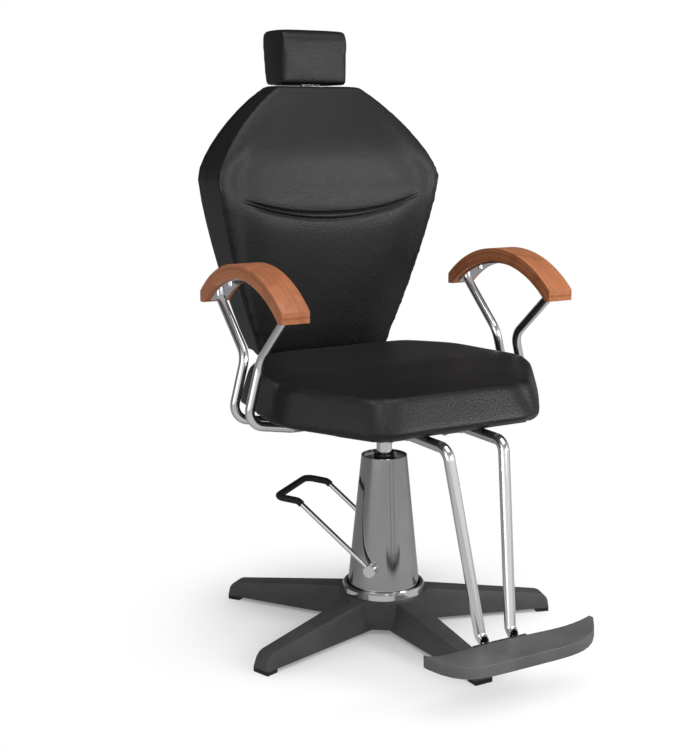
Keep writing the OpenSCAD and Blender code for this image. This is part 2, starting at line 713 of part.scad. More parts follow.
module clamp_screws() color([0.6, 0.6, 0.62]) each_side() clamp_screw_places() {
    below = foot_tube_d + clamp_base;
    translate([0, 0, -below]) cylinder(h = below + clamp_grip, d = clamp_screw_d);
    translate([0, 0, -below - 4]) cylinder(h = 4, d = 10);
}

module foot_tread() color([0.36, 0.36, 0.37]) at_tread() difference() {
    intersection() {
        translate([0, 0, -60]) linear_extrude(160) scale([tread_len / 2, 1]) polygon(concat(
            [for (x = tread_x) [x, tread_front_sweep * pow(abs(x), 6) - tread_w]],
            [for (x = tread_x) [-x, -tread_rear_sweep * pow(abs(x), 2.5)]]));
        rotate([90, 0, 0]) linear_extrude(200) scale([tread_len / 2, 1]) polygon(concat(
            [for (x = tread_x) [x, tread_rise * pow(abs(x), 5) - tread_t]],
            [for (x = tread_x) [-x, tread_rise * pow(abs(x), 5)]]));
    }
    tread_screw_spots() cylinder(h = 12, d = tread_screw_d + 2 * seated);
}

module tread_screw_spots() for (p = tread_screw_places) translate([p.x, -p.y, -tread_t - 0.1]) children();

module tread_bracket() color([0.3, 0.3, 0.31]) at_tread() difference() {
    union() {
        translate([-bracket_w / 2, 0, -tread_t - bracket_t]) cube([bracket_w, bracket_t, tread_t + bracket_t]);
        translate([-bracket_w / 2, -bracket_leg, -tread_t - bracket_t]) cube([bracket_w, bracket_leg + 1, bracket_t]);
    }
    tread_screw_spots() translate([0, 0, -20]) cylinder(h = 30, d = tread_screw_d + 2 * seated);
}

module tread_screws() color([0.7, 0.7, 0.72]) at_tread() tread_screw_spots() {
    translate([0, 0, -bracket_t]) cylinder(h = bracket_t + 8, d = tread_screw_d);
    translate([0, 0, -bracket_t - 3]) cylinder(h = 3, d = 10);
}

// ---- Recline hinge ----
collar_t = 6;
collar_d = 22;
bracket_arm = 5;
strap_w = 30;
strap_top = 720;
lever_hub_w = 10;
lever_rod_d = 9;
knob_d = 24;
shaft_side = bracket_x + ear_t;
lever_x = shaft_side + 2 + lever_hub_w / 2;
knob_at = [246, recline_y - 90, recline_z - 28];
bracket_screw_z = [580, 640, 700];
bracket_screw_d = 6;
bracket_screw_len = 14;
screw_head_d = 12;
screw_head_h = 3;

module recline_shaft() color([0.8, 0.8, 0.82]) {
    rod([-shaft_side - collar_t, recline_y, recline_z], [lever_x + lever_hub_w / 2 + collar_t, recline_y, recline_z],
        recline_d);
}

module shaft_collars() color([0.7, 0.7, 0.72]) difference() {
    union() {
        x_disc(-shaft_side - collar_t / 2, recline_y, recline_z, collar_d, collar_t);
        x_disc(lever_x + lever_hub_w / 2 + collar_t / 2, recline_y, recline_z, collar_d, collar_t);
    }
    x_disc(0, recline_y, recline_z, recline_d + 2 * seated, 400);
}

module friction_washers() color([0.5, 0.42, 0.3]) each_side() difference() {
    x_disc(ear_x + ear_t + washer_gap / 2, recline_y, recline_z, ear_d, washer_gap);
    x_disc(ear_x + ear_t, recline_y, recline_z, recline_d + 2 * run, 20);
}

module back_bracket(s) scale([s, 1, 1]) color([0.13, 0.13, 0.14]) difference() {
    union() {
        x_disc(bracket_x + ear_t / 2, recline_y, recline_z, ear_d, ear_t);
        translate([bracket_x, recline_y, recline_z - ear_d / 2]) cube([ear_t, strap_y + bracket_arm - recline_y, ear_d]);
        translate([shaft_side - strap_w, strap_y, recline_z - ear_d / 2])
            cube([strap_w, bracket_arm, strap_top - recline_z + ear_d / 2]);
    }
    x_disc(bracket_x, recline_y, recline_z, recline_d + 2 * run, 40);
    bracket_screw_spots() bracket_screw(seated);
}

module left_back_bracket() back_bracket(-1);
module right_back_bracket() back_bracket(1);

module bracket_screw_spots() for (z = bracket_screw_z)
    translate([shaft_side - strap_w / 2, strap_y + bracket_arm, z]) rotate([90, 0, 0]) children();

// Countersunk screw that points along +Z from its flush head
module bracket_screw(grow) {
    cylinder(h = bracket_screw_len, d = bracket_screw_d + 2 * grow);
    cylinder(h = screw_head_h, d1 = screw_head_d + 2 * grow, d2 = bracket_screw_d + 2 * grow);
    if (grow > 0) translate([0, 0, -eps]) cylinder(h = eps, d = screw_head_d + 2 * grow);
}

module bracket_screws() color([0.7, 0.7, 0.72]) each_side() bracket_screw_spots() bracket_screw(0);

module recline_lever() color([0.85, 0.85, 0.87]) difference() {
    union() {
        x_disc(lever_x, recline_y, recline_z, 26, lever_hub_w);
        bent_rod([[lever_x, recline_y, recline_z], [lever_x, recline_y - 48, recline_z - 22],
            [lever_x + 46, knob_at.y, knob_at.z], knob_at], 18, lever_rod_d);
    }
    x_disc(lever_x, recline_y, recline_z, recline_d + 2 * run, 40);
}

module lever_knob() color([0.06, 0.06, 0.06]) translate(knob_at) rotate([0, 90, 0]) union() {
    cylinder(h = 26, d = knob_d);
    translate([0, 0, 26]) sphere(d = knob_d);
}

// ---- Back ----
back_lean = 25;
back_rear_y = 308;
back_low_y = 240;
back_mid_y = 195;
back_top_y = 262;
back_board_t = 12;
// How far the board stops short of the back's outline
board_edge = 10;
// How far the sides bulge out below and above the widest height, and the power and steps of that curve
back_low_bulge = 13;
back_high_bulge = 28;
back_bulge_power = 0.8;
back_bulge_steps = 8;
strap_y = back_rear_y - rear_cover_t;
board_front = strap_y - back_board_t;
lean = atan(back_lean / (back_top_z - back_wide_z));

// Points between p and q on a curve that bulges out by b
function bulged(p, q, b) = [for (i = [1 : back_bulge_steps - 1]) let (u = i / back_bulge_steps)
    p + (q - p) * u + [b * pow(4 * u * (1 - u), back_bulge_power), 0]];

// Front view of the back, drawn in by d all round
function back_outline(d) = let (low = [back_low_w - d, back_z + d], wide = [back_wide_w - d, back_wide_z],
        top = [back_top_w - d * 0.6, back_top_z - d],
        right = concat([low], bulged(low, wide, back_low_bulge), [wide], bulged(wide, top, back_high_bulge), [top]))
    concat(right, [for (i = [len(right) - 1 : -1 : 0]) [-right[i].x, right[i].y]]);

// Everything behind a front line and in front of a rear line, within the outline drawn in by d
module back_slab(front, rear, d) intersection() {
    yz_plate([[front[0], back_z - eps], [front[1], back_wide_z], [front[2], back_top_z + eps],
        [rear[2], back_top_z + eps], [rear[1], back_wide_z], [rear[0], back_z - eps]], -300, 300);
    translate([0, 500, 0]) rotate([90, 0, 0]) linear_extrude(500) polygon(back_outline(d));
}

// Line parallel to the rear face, at y behind the column
function back_line(y) = [y, y, y + back_lean];

module back_board() color([0.12, 0.11, 0.1]) difference() {
    back_slab(back_line(board_front), back_line(strap_y), board_edge);
    each_side() bracket_screw_spots() bracket_screw(seated);
}

module back_cushion() color([0.1, 0.1, 0.1]) difference() {
    back_slab([back_low_y, back_mid_y, back_top_y], back_line(strap_y - soft), 0);
    back_slab(back_line(board_front - soft), back_line(strap_y + eps), board_edge - soft);
    at_guide() translate([-guide_w / 2 - soft, -guide_d - soft, -guide_len - soft])
        cube([guide_w + 2 * soft, guide_d + 2 * soft, guide_len + 60]);
}

module rear_cover() color([0.1, 0.1, 0.1]) difference() {
    back_slab(back_line(strap_y), back_line(back_rear_y), 0);
    each_side() translate([shaft_side - strap_w - 0.5, strap_y - eps, back_z - eps])
        cube([strap_w + 1, bracket_arm + eps + 0.3, strap_top + 1 - back_z + eps]);
}

// ---- Headrest ----
guide_wall = 2.5;
bar_play = 0.3;
guide_w = bar_w + 2 * (bar_play + guide_wall);
guide_d = bar_t + 2 * (bar_play + guide_wall);
guide_len = 140;
guide_below = 4;
guide_gap = 0.2;
head_travel = 80;
head_front = back_top_y + 14;
head_depth = 98;
head_plate_t = 5;
head_plate_w = head_w * 0.7;
head_plate_h = 60;
bar_low = guide_len;
bar_high = 84;

// Frame of the headrest guide: Z up along the leaning board, Y into the board's front face
module at_guide()
    translate([0, board_front + back_lean - guide_below * tan(lean) - guide_gap, back_top_z - guide_below])
    rotate([-lean, 0, 0]) children();

module guide_bar(grow, low, high) translate([-bar_w / 2 - grow, -guide_d / 2 - bar_t / 2 - grow, -low])
    cube([bar_w + 2 * grow, bar_t + 2 * grow, low + high]);

module headrest_guide() color([0.5, 0.5, 0.52]) at_guide() difference() {
    translate([-guide_w / 2, -guide_d, -guide_len]) cube([guide_w, guide_d, guide_len]);
    guide_bar(bar_play, guide_len + eps, eps);
}

module headrest_bar() color([0.85, 0.85, 0.87]) at_guide() guide_bar(0, bar_low, bar_high);

module at_head_plate() at_guide() translate([0, bar_t / 2 - guide_d / 2, 0]) children();

module headrest_plate() color([0.55, 0.55, 0.57]) at_head_plate()
    translate([-head_plate_w / 2, 0, bar_high - head_plate_h]) cube([head_plate_w, head_plate_t, head_plate_h]);

head_z = back_top_z + head_gap;
head_top = head_z + head_h;
// Corner radii of the headrest, seen from the side: lower front, upper front, lower rear, upper rear
head_round = [10, 21, 12, 18];
// How far the lower corners stand in from the upper ones
head_low_in = [2, 12];

// Side view of the headrest with its rounded corners
module head_side() {
    hull() {
        translate([head_front + head_low_in[0] + head_round[0], head_z + head_round[0]]) circle(r = head_round[0]);
        translate([head_front + head_round[1], head_top - head_round[1]]) circle(r = head_round[1]);
        translate([head_front + head_depth - head_low_in[1] - head_round[2], head_z + head_round[2]])
            circle(r = head_round[2]);
        translate([head_front + head_depth - head_round[3], head_top - head_round[3]]) circle(r = head_round[3]);
    }
}

module headrest_pad() color([0.1, 0.1, 0.1]) difference() {
    translate([-head_w / 2, 0, 0]) rotate([90, 0, 90]) linear_extrude(head_w) head_side();
    at_guide() guide_bar(soft, 0, bar_high + soft);
    at_head_plate() translate([-head_plate_w / 2 - soft, -soft, bar_high - head_plate_h - soft])
        cube([head_plate_w + 2 * soft, head_plate_t + 2 * soft, head_plate_h + 2 * soft]);
}

star_base();
foot_glides();
base_ring();
column_cover();
cover_cap();
pump_body();
pump_bolts();
oil_cylinder();
ram_gland();
wiper_seal();
pedal_bushes();
pedal_shaft();
pump_finger();
pedal_fork();
pedal_grip();
pedal_end_nuts();
pump_plunger();
lift_ram();
ram_piston();
piston_seal();
swivel_bush();
thrust_washer();
seat_socket();
socket_bolts();
seat_frame();
frame_spacers();
frame_bolts();
seat_board();
seat_cushion();
front_arm_tube();
rear_arm_tube();
left_arm_strip();
right_arm_strip();
left_armrest();
right_armrest();
armrest_screws();
left_foot_tube();
right_foot_tube();
footrest_clamps();
clamp_screws();
tread_bracket();
tread_screws();
foot_tread();
recline_shaft();
shaft_collars();
left_back_bracket();
right_back_bracket();
friction_washers();
bracket_screws();
back_board();
back_cushion();
rear_cover();
headrest_guide();
recline_lever();
lever_knob();
headrest_bar();
headrest_plate();
headrest_pad();
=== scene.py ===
"""Finish of a hydraulic barber chair: upholstery, woodwork, castings and materials round the fixed frame."""

import json
import math

import bpy
import numpy as np
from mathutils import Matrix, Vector

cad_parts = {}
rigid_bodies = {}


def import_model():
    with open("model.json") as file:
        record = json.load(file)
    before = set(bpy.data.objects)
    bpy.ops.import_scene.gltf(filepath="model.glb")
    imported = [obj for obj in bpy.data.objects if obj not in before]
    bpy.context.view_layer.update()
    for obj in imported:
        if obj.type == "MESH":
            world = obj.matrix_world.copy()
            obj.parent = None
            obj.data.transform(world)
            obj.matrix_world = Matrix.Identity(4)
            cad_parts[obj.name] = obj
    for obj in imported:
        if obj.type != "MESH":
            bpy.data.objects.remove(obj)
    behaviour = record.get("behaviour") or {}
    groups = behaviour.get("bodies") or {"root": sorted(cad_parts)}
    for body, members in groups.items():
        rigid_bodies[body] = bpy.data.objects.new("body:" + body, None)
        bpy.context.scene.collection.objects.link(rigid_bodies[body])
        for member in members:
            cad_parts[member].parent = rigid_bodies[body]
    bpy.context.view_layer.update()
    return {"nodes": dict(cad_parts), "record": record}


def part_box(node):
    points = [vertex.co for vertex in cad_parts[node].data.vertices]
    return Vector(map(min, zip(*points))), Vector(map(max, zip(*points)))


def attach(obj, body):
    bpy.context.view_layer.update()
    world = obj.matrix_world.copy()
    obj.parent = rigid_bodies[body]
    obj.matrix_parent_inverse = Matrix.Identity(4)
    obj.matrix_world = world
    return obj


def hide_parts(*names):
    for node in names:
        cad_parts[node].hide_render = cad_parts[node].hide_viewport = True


bl_info = {
    "name": "Barber Chair Finish",
    "version": (1, 0, 0),
    "blender": (4, 5, 0),
    "location": "View3D > Sidebar > Barber Chair",
    "description": "Upholstery, wood, castings and finishes for a hydraulic barber chair",
    "category": "Object",
}

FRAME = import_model()
NODES = FRAME["nodes"]
SLOT_OF = {row["node"]: row["material_slot"] for row in FRAME["record"]["subparts"]}
BODY_OF = {node: body for body, members in FRAME["record"]["behaviour"]["bodies"].items() for node in members}

# Half width and height of the back at its lower edge, its widest place and its top
BACK_LOW = (0.150, 0.532)
BACK_WIDE = (0.257, 0.888)
BACK_TOP = (0.096, 1.070)
# How far the sides bulge below and above the widest place, and the power that shapes the bulge
BACK_BULGES = (0.013, 0.028)
BULGE_POWER = 0.8
# Y of the front at the same three heights, and how much its slope changes at the widest place
FRONT_LOW_Y, FRONT_WIDE_Y, FRONT_TOP_Y = 0.240, 0.195, 0.262
BEND_SLOPE = 0.494
# How far the rear leans back between the widest place and the top
REAR_LEAN = 0.025
# Lines of the crease: height at the middle, rise at a distance from it, that distance, power of the curve
CREASE_TOP = (0.818, 0.030, 0.200, 2.2)
CREASE_FOOT = (0.8065, 0.0355, 0.195, 2)
CREASE_MIDDLE = (0.8125, 0.032, 0.200, 2.1)
# Corners of the seat, seen from above
SEAT_PLAN = (
    (-0.170, -0.272), (0.170, -0.272), (0.297, -0.105), (0.263, 0.112),
    (0.168, 0.228), (-0.168, 0.228), (-0.263, 0.112), (-0.297, -0.105),
)

# Frames for which a cover is blown up, and rounds that even out its movement
CLOTH_FRAMES = 20
CLOTH_EVENING = 70
CLOTH = {
    "quality": 4, "mass": 0.35,
    "tension_stiffness": 28.0, "compression_stiffness": 28.0, "shear_stiffness": 14.0, "bending_stiffness": 1.2,
    "use_pressure": True, "vertex_group_mass": "held", "pin_stiffness": 1.0,
}
# Edges flatter than this many degrees are shaded smooth
SMOOTH_ANGLE = 34.0

CAMERA_AT = (-1.3314, -2.1528, 1.0149)
CAMERA_PITCH = 0.1967
CAMERA_YAW = -0.5226
CAMERA_LENS = 62.69
FLOOR_RADIUS = 9.0
# Name, place, target and size of each lamp, and the setting that holds its power
LAMPS = (
    ("Key lamp", (0.15, -1.0, 3.2), (0.0, 0.0, 0.4), (2.2, 1.8), "key_watts"),
    ("Front lamp", (0.4, -3.4, 1.5), (0.0, 0.0, 0.8), (1.0, 1.0), "front_watts"),
    ("Near lamp", (1.05, -1.4, 1.05), (0.0, 0.1, 0.8), (0.5, 0.5), "near_watts"),
    ("Fill lamp", (-2.7, -1.2, 1.5), (0.0, 0.0, 0.5), (1.0, 1.6), "fill_watts"),
)


# ---- Shader maths ----
class Wire:
    """An output socket. Arithmetic on it adds Math nodes to its tree."""

    def __init__(self, finish, socket):
        self.finish = finish
        self.socket = socket

    def math(self, operation, *values):
        return self.finish.node("ShaderNodeMath", {"operation": operation}, *values)

    def __add__(self, other):
        return self.math("ADD", self, other)

    def __sub__(self, other):
        return self.math("SUBTRACT", self, other)

    def __rsub__(self, other):
        return self.math("SUBTRACT", other, self)

    def __mul__(self, other):
        return self.math("MULTIPLY", self, other)

    def __pow__(self, other):
        return self.math("POWER", self, other)

    __radd__ = __add__
    __rmul__ = __mul__

    def clamp(self, low, high):
        return self.math("MINIMUM", self.math("MAXIMUM", self, low), high)

    def step(self, low, high):
        """0 below low, 1 above high, smooth between."""
        settings = {"interpolation_type": "SMOOTHSTEP"}
        return self.finish.node("ShaderNodeMapRange", settings, self, low, high, 0.0, 1.0)


class Graph:
    """A tree of shader nodes."""

    def __init__(self, owner):
        owner.use_nodes = True
        self.tree = owner.node_tree
        self.tree.nodes.clear()

    def node(self, kind, settings, *values, output=0, **named):
        """Adds a node, sets it up, feeds its sockets in order or by name, and returns one output."""
        node = self.tree.nodes.new(kind)
        for key, value in settings.items():
            setattr(node, key, value)
        for key, value in [*enumerate(values), *named.items()]:
            socket = node.inputs[key if isinstance(key, int) else key.replace("_", " ")]
            if isinstance(value, Wire):
                self.tree.links.new(value.socket, socket)
            elif value is not None:
                socket.default_value = value
        return Wire(self, node.outputs[output])

    def rays(self):
        """1 for rays that show the surface itself, and 1 for rays that show it in gloss."""
        camera = self.node("ShaderNodeLightPath", {}, output="Is Camera Ray")
        outputs = camera.socket.node.outputs
        through, glossy = (Wire(self, outputs[f"Is {kind} Ray"]) for kind in ("Transmission", "Glossy"))
        return camera.math("MAXIMUM", camera, through), glossy

    def show(self, kind, shader):
        """Sends a shader to the tree's output."""
        output = self.tree.nodes.new(kind)
        self.tree.links.new(shader.socket, output.inputs["Surface"])

    def mix(self, factor, first, second):
        """Blends two colours."""
        node = self.tree.nodes.new("ShaderNodeMix")
        node.data_type = "RGBA"
        for index, value in ((0, factor), (6, first), (7, second)):
            if isinstance(value, Wire):
                self.tree.links.new(value.socket, node.inputs[index])
            elif index:
                node.inputs[index].default_value = (*value, 1.0)
            else:
                node.inputs[index].default_value = value
        return Wire(self, node.outputs[2])


class Finish(Graph):
    """A material, its shader and the patterns on it."""

    def __init__(self, name, **constants):
        self.material = bpy.data.materials.new(name)
        super().__init__(self.material)
        surface = self.node("ShaderNodeBsdfPrincipled", {})
        self.shader = surface.socket.node
        self.show("ShaderNodeOutputMaterial", surface)
        for key, value in constants.items():
            self.shader.inputs[key.replace("_", " ")].default_value = value
        self.place = self.node("ShaderNodeTexCoord", {}, output="Object")

    def noise(self, scale, detail, roughness, at=None, distortion=0.0):
        return self.node(
            "ShaderNodeTexNoise", {}, Vector=at or self.place, Scale=scale, Detail=detail,
            Roughness=roughness, Distortion=distortion,
        )

    def cells(self, scale, feature="F1"):
        return self.node("ShaderNodeTexVoronoi", {"feature": feature}, Vector=self.place, Scale=scale)

    def axes(self):
        """The three parts of the object's own place."""
        split = self.node("ShaderNodeSeparateXYZ", {}, self.place)
        return [Wire(self, split.socket.node.outputs[k]) for k in range(3)]

    def vector(self, x, y, z):
        return self.node("ShaderNodeCombineXYZ", {}, x, y, z)

    def stretched(self, scale):
        return self.node("ShaderNodeMapping", {}, Vector=self.place, Scale=scale)

    def feed(self, **wires):
        for key, wire in wires.items():
            self.tree.links.new(wire.socket, self.shader.inputs[key.replace("_", " ")])
        return self

    def bump(self, height, strength, distance):
        normal = self.node("ShaderNodeBump", {}, Strength=strength, Distance=distance, Height=height)
        return self.feed(Normal=normal)


def shaded(colour, share):
    """A colour times a share."""
    return tuple(c * share for c in colour)


def vinyl(name, settings):
    """Coated upholstery fabric: fine pebbled grain with painted shade in its valleys and painted highlight on
    its tops, faint creasing and slightly polished patches.
    """
    f = Finish(name, Specular_IOR_Level=settings.vinyl_gloss, IOR=1.4, Sheen_Weight=0.01, Sheen_Roughness=0.4)
    base = settings.vinyl_colour
    patch = f.noise(7.0, 4.0, 0.6)
    pebble = f.cells(settings.grain_per_metre)
    pore = f.cells(settings.grain_per_metre * 2.1, "SMOOTH_F1")
    stretch = f.noise(60.0, 3.0, 0.6)
    grain = pebble * 0.65 + pore * 0.35
    colour = f.mix(patch.step(0.3, 0.7), base, shaded(base, 1.5))
    # Painted shade and highlight in the grain: the pebbles' tops are lighter and the valleys between them
    # darker.
    valley = f.mix(grain.step(0.15, 0.6), shaded(base, 1.3), shaded(base, 0.5))
    f.feed(Base_Color=f.mix(0.45, colour, valley))
    f.feed(Roughness=(settings.vinyl_roughness + (patch - 0.5) * 0.14 + (grain - 0.3) * 0.14).clamp(0.2, 0.8))
    return f.bump(grain * -1.0 + stretch * 0.35, settings.grain_strength, 0.0006)


def cherry(name, settings):
    """Bent laminated cherry: grain that runs along the arch, plies across its thickness, satin lacquer."""
    f = Finish(name, Coat_Weight=0.06, Coat_Roughness=0.25, Specular_IOR_Level=0.22)
    x, y, z = f.axes()
    dy, dz = y - settings.arch_centre[1], z - settings.arch_centre[2]
    radius = (dy * dy + dz * dz) ** 0.5
    along = f.node("ShaderNodeMath", {"operation": "ARCTAN2"}, dy, dz) * settings.arch_radius
    plies = radius * 210.0
    streak_at = f.vector(along * 5.0, x * 130.0, radius * 130.0 + plies.math("FLOOR", plies) * 3.7)
    streak = f.noise(1.0, 5.0, 0.65, streak_at, 0.6)
    figure = f.noise(1.0, 3.0, 0.5, f.vector(along * 16.0, x * 22.0, radius * 22.0), 1.2)
    pore = f.noise(1.0, 2.0, 0.7, f.vector(along * 60.0, x * 1100.0, radius * 1100.0))
    light, mid, dark = settings.wood_light, settings.wood_mid, settings.wood_dark
    body = f.mix(streak.step(0.32, 0.68), mid, light)
    body = f.mix(figure.step(0.45, 0.75) * 0.45, body, dark)
    body = f.mix(pore.step(0.56, 0.72) * 0.35, body, dark)
    beside = radius - settings.glue_radius
    line = 1 - beside.math("ABSOLUTE", beside).step(0.0006, 0.0021)
    body = f.mix(line * 0.5, body, dark)
    f.feed(Base_Color=body, Roughness=(0.34 + (pore - 0.5) * 0.2 + (streak - 0.5) * 0.1).clamp(0.2, 0.7))
    return f.bump(pore * -0.6 + streak * 0.3, 0.12, 0.0004)


def plated(name, colour, roughness, streaks):
    """Bright plating on polished steel: a little haze, fine polishing lines and a few dull patches."""
    f = Finish(name, Metallic=1.0, Specular_IOR_Level=0.5)
    haze = f.noise(18.0, 4.0, 0.6)
    lines = f.noise(1.0, 2.0, 0.5, f.stretched((900.0, 900.0, 14.0)))
    speck = f.noise(420.0, 2.0, 0.6)
    f.feed(Base_Color=f.mix(haze.step(0.35, 0.75) * 0.5, colour, shaded(colour, 0.88)))
    dull = (haze - 0.5) * 0.05 + (lines - 0.5) * streaks
    f.feed(Roughness=(roughness + dull + speck.step(0.68, 0.8) * 0.05).clamp(0.02, 0.6))
    return f.bump(lines * streaks + haze * 0.2, 0.05, 0.0003)


def painted(name, colour, roughness, texture_scale, texture_depth, gloss=0.5):
    """Sprayed or powder paint, or moulded plastic: orange peel, dust in the texture, rubbed highlights."""
    f = Finish(name, Specular_IOR_Level=gloss)
    broad = f.noise(9.0, 4.0, 0.6)
    peel = f.noise(texture_scale, 3.0, 0.55)
    fine = f.noise(texture_scale * 4.0, 2.0, 0.6)
    lighter = tuple(min(c * 1.45 + 0.004, 1.0) for c in colour)
    f.feed(Base_Color=f.mix(broad.step(0.3, 0.75), colour, lighter))
    f.feed(Roughness=(roughness + (broad - 0.5) * 0.14 + (fine - 0.5) * 0.1).clamp(0.1, 0.95))
    return f.bump(peel + fine * 0.4, texture_depth, 0.0005)


def bare_metal(name, colour, roughness, ring_scale):
    """Turned or machined metal with tool marks and slight tarnish."""
    f = Finish(name, Metallic=1.0, Specular_IOR_Level=0.5)
    tarnish = f.noise(30.0, 4.0, 0.65)
    marks = f.node("ShaderNodeTexWave", {"wave_type": "BANDS", "bands_direction": "Z"}, Vector=f.place,
                   Scale=ring_scale, Distortion=2.0, Detail=2.0)
    f.feed(Base_Color=f.mix(tarnish.step(0.4, 0.8) * 0.7, colour, shaded(colour, 0.6)))
    f.feed(Roughness=(roughness + (tarnish - 0.5) * 0.2 + (marks - 0.5) * 0.08).clamp(0.08, 0.8))
    return f.bump(marks * 0.5 + tarnish, 0.08, 0.0003)


def cast_iron(name, colour):
    """Rough sand-cast iron, oiled dark."""
    f = Finish(name, Metallic=0.0, Specular_IOR_Level=0.6)
    sand = f.noise(260.0, 4.0, 0.7)
    oil = f.noise(14.0, 3.0, 0.6)
    f.feed(Base_Color=f.mix(oil.step(0.35, 0.7), colour, shaded(colour, 0.5)))
    f.feed(Roughness=(0.55 + (sand - 0.5) * 0.3 - oil * 0.15).clamp(0.25, 0.9))
    return f.bump(sand, 0.5, 0.0008)


def plywood(name, colour):
    """Birch ply stained black: thin veneers across the thickness, grain along them."""
    f = Finish(name, Specular_IOR_Level=0.3)
    x, y, z = f.axes()
    veneer = f.node("ShaderNodeTexWave", {"wave_type": "BANDS", "bands_direction": "Z"}, Vector=f.place,
                    Scale=110.0, Distortion=0.3, Detail=1.0)
    grain = f.noise(1.0, 4.0, 0.6, f.vector(x * 8.0, y * 120.0, z * 120.0), 0.8)
    worn = veneer.step(0.3, 0.7) * 0.5 + grain.step(0.4, 0.7) * 0.4
    f.feed(Base_Color=f.mix(worn, colour, shaded(colour, 0.6)))
    f.feed(Roughness=(0.62 + (grain - 0.5) * 0.2).clamp(0.4, 0.9))
    return f.bump(grain, 0.2, 0.0004)


def fibre(name, colour):
    """Pressed friction fibre with short strands in it."""
    f = Finish(name, Specular_IOR_Level=0.3)
    strands = f.noise(1.0, 3.0, 0.7, f.stretched((700.0, 160.0, 160.0)))
    f.feed(Base_Color=f.mix(strands.step(0.4, 0.65), colour, shaded(colour, 1.7)))
    f.feed(Roughness=(0.75 + (strands - 0.5) * 0.2).clamp(0.5, 0.95))
    return f.bump(strands, 0.3, 0.0004)


# ---- Mesh helpers ----
def deselect():
    if bpy.context.object and bpy.context.object.mode != "OBJECT":
        bpy.ops.object.mode_set(mode="OBJECT")
    for item in bpy.context.view_layer.objects:
        item.select_set(False)
    bpy.context.view_layer.objects.active = None


def take(piece):
    """Selects one piece alone and makes it active."""
    deselect()
    piece.select_set(True)
    bpy.context.view_layer.objects.active = piece


def apply_all(piece):
    take(piece)
    for modifier in list(piece.modifiers):
        bpy.ops.object.modifier_apply(modifier=modifier.name)


def modify(piece, name, kind, **settings):
    modifier = piece.modifiers.new(name, kind)
    for key, value in settings.items():
        setattr(modifier, key, value)
    return modifier


def shell_of(node, name, dissolve=True):
    """A closed copy of a node's solid, with its flat faces whole again."""
    source = NODES[node]
    piece = bpy.data.objects.new(name, source.data.copy())
    bpy.context.scene.collection.objects.link(piece)
    piece.data.materials.clear()
    for layer in list(piece.data.uv_layers):
        piece.data.uv_layers.remove(layer)
    take(piece)
    if piece.data.has_custom_normals:
        bpy.ops.mesh.customdata_custom_splitnormals_clear()
    bpy.ops.object.mode_set(mode="EDIT")
    bpy.ops.mesh.select_all(action="SELECT")
    bpy.ops.mesh.remove_doubles(threshold=0.00002)
    if dissolve:
        bpy.ops.mesh.dissolve_limited(angle_limit=math.radians(0.6))
    bpy.ops.object.mode_set(mode="OBJECT")
    return piece


def round_edges(piece, width, segments, over=None, chosen=None):
    """Rounds edges over so many degrees, or between the points that chosen() picks, and shades it smooth."""
    if chosen:
        group = weigh(piece, "rounded", chosen(points_of(piece)))
        limit = {"limit_method": "VGROUP", "vertex_group": group.name}
    else:
        limit = {"limit_method": "ANGLE", "angle_limit": math.radians(over)}
    modify(piece, "Rounded edges", "BEVEL", width=width, segments=segments, use_clamp_overlap=True, **limit)
    apply_all(piece)
    take(piece)
    bpy.ops.object.shade_smooth_by_angle(angle=math.radians(SMOOTH_ANGLE))


def dress(piece, finish, node, also=()):
    """Gives a piece its finish, its body and the nodes that it stands for."""
    piece.data.materials.clear()
    piece.data.materials.append(finish)
    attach(piece, BODY_OF[node])
    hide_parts(node, *also)


def points_of(piece):
    places = np.zeros(len(piece.data.vertices) * 3)
    piece.data.vertices.foreach_get("co", places)
    return places.reshape(-1, 3)


def normals_of(piece):
    values = np.zeros(len(piece.data.vertices) * 3)
    piece.data.vertices.foreach_get("normal", values)
    return values.reshape(-1, 3)


def put_points(piece, places):
    piece.data.vertices.foreach_set("co", places.ravel())
    piece.data.update()


def ease(value, low, high):
    """0 below low, 1 above high, smooth between."""
    share = np.clip((value - low) / (high - low), 0.0, 1.0)
    return share * share * (3 - 2 * share)


# ---- Upholstery ----
def stuff(piece, node, held, kept, *, voxel, shrink, pressure, most, rounds,
          swell_low=(0, 0, 0), swell_high=(0, 0, 0)):
    """Turns a solid into a stuffed cover: remeshed, drawn in, blown up as cloth, fitted to its node's box.

    held() gives 1 where the cloth may not move, kept() gives 1 where smoothing leaves the mesh alone.
    The new faces are voxel wide, the cloth starts smaller by shrink, and no point rises more than most."""
    modify(piece, "Even mesh", "REMESH", mode="VOXEL", voxel_size=voxel, use_smooth_shade=True)
    apply_all(piece)
    soften(piece, 1 - kept(points_of(piece)), rounds)
    start = points_of(piece)
    fixed = np.maximum(held(start), kept(start))
    start = start - normals_of(piece) * (shrink * (1 - fixed))[:, None]
    put_points(piece, start)
    blow_up(piece, fixed, pressure, most, start)
    fit_box(piece, node, swell_low, swell_high)


def weigh(piece, name, weights):
    """Adds a vertex group that holds the weights."""
    group = piece.vertex_groups.new(name=name)
    for index in np.nonzero(weights > 0.01)[0]:
        group.add([int(index)], float(weights[index]), "REPLACE")
    return group


def soften(piece, weights, rounds):
    """Smooths a piece where weights says."""
    weigh(piece, "soft", weights)
    modify(piece, "Soft ridges", "SMOOTH", factor=0.5, iterations=rounds, vertex_group="soft")
    apply_all(piece)
    piece.vertex_groups.clear()


def fit_box(piece, node, swell_low, swell_high):
    """Stretches a piece by the little that smoothing took, to its node's box and the swelling beyond it."""
    low, high = (np.array(corner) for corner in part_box(node))
    low, high = low - np.array(swell_low), high + np.array(swell_high)
    places = points_of(piece)
    least, most = places.min(axis=0), places.max(axis=0)
    put_points(piece, low + (places - least) * (high - low) / (most - least))


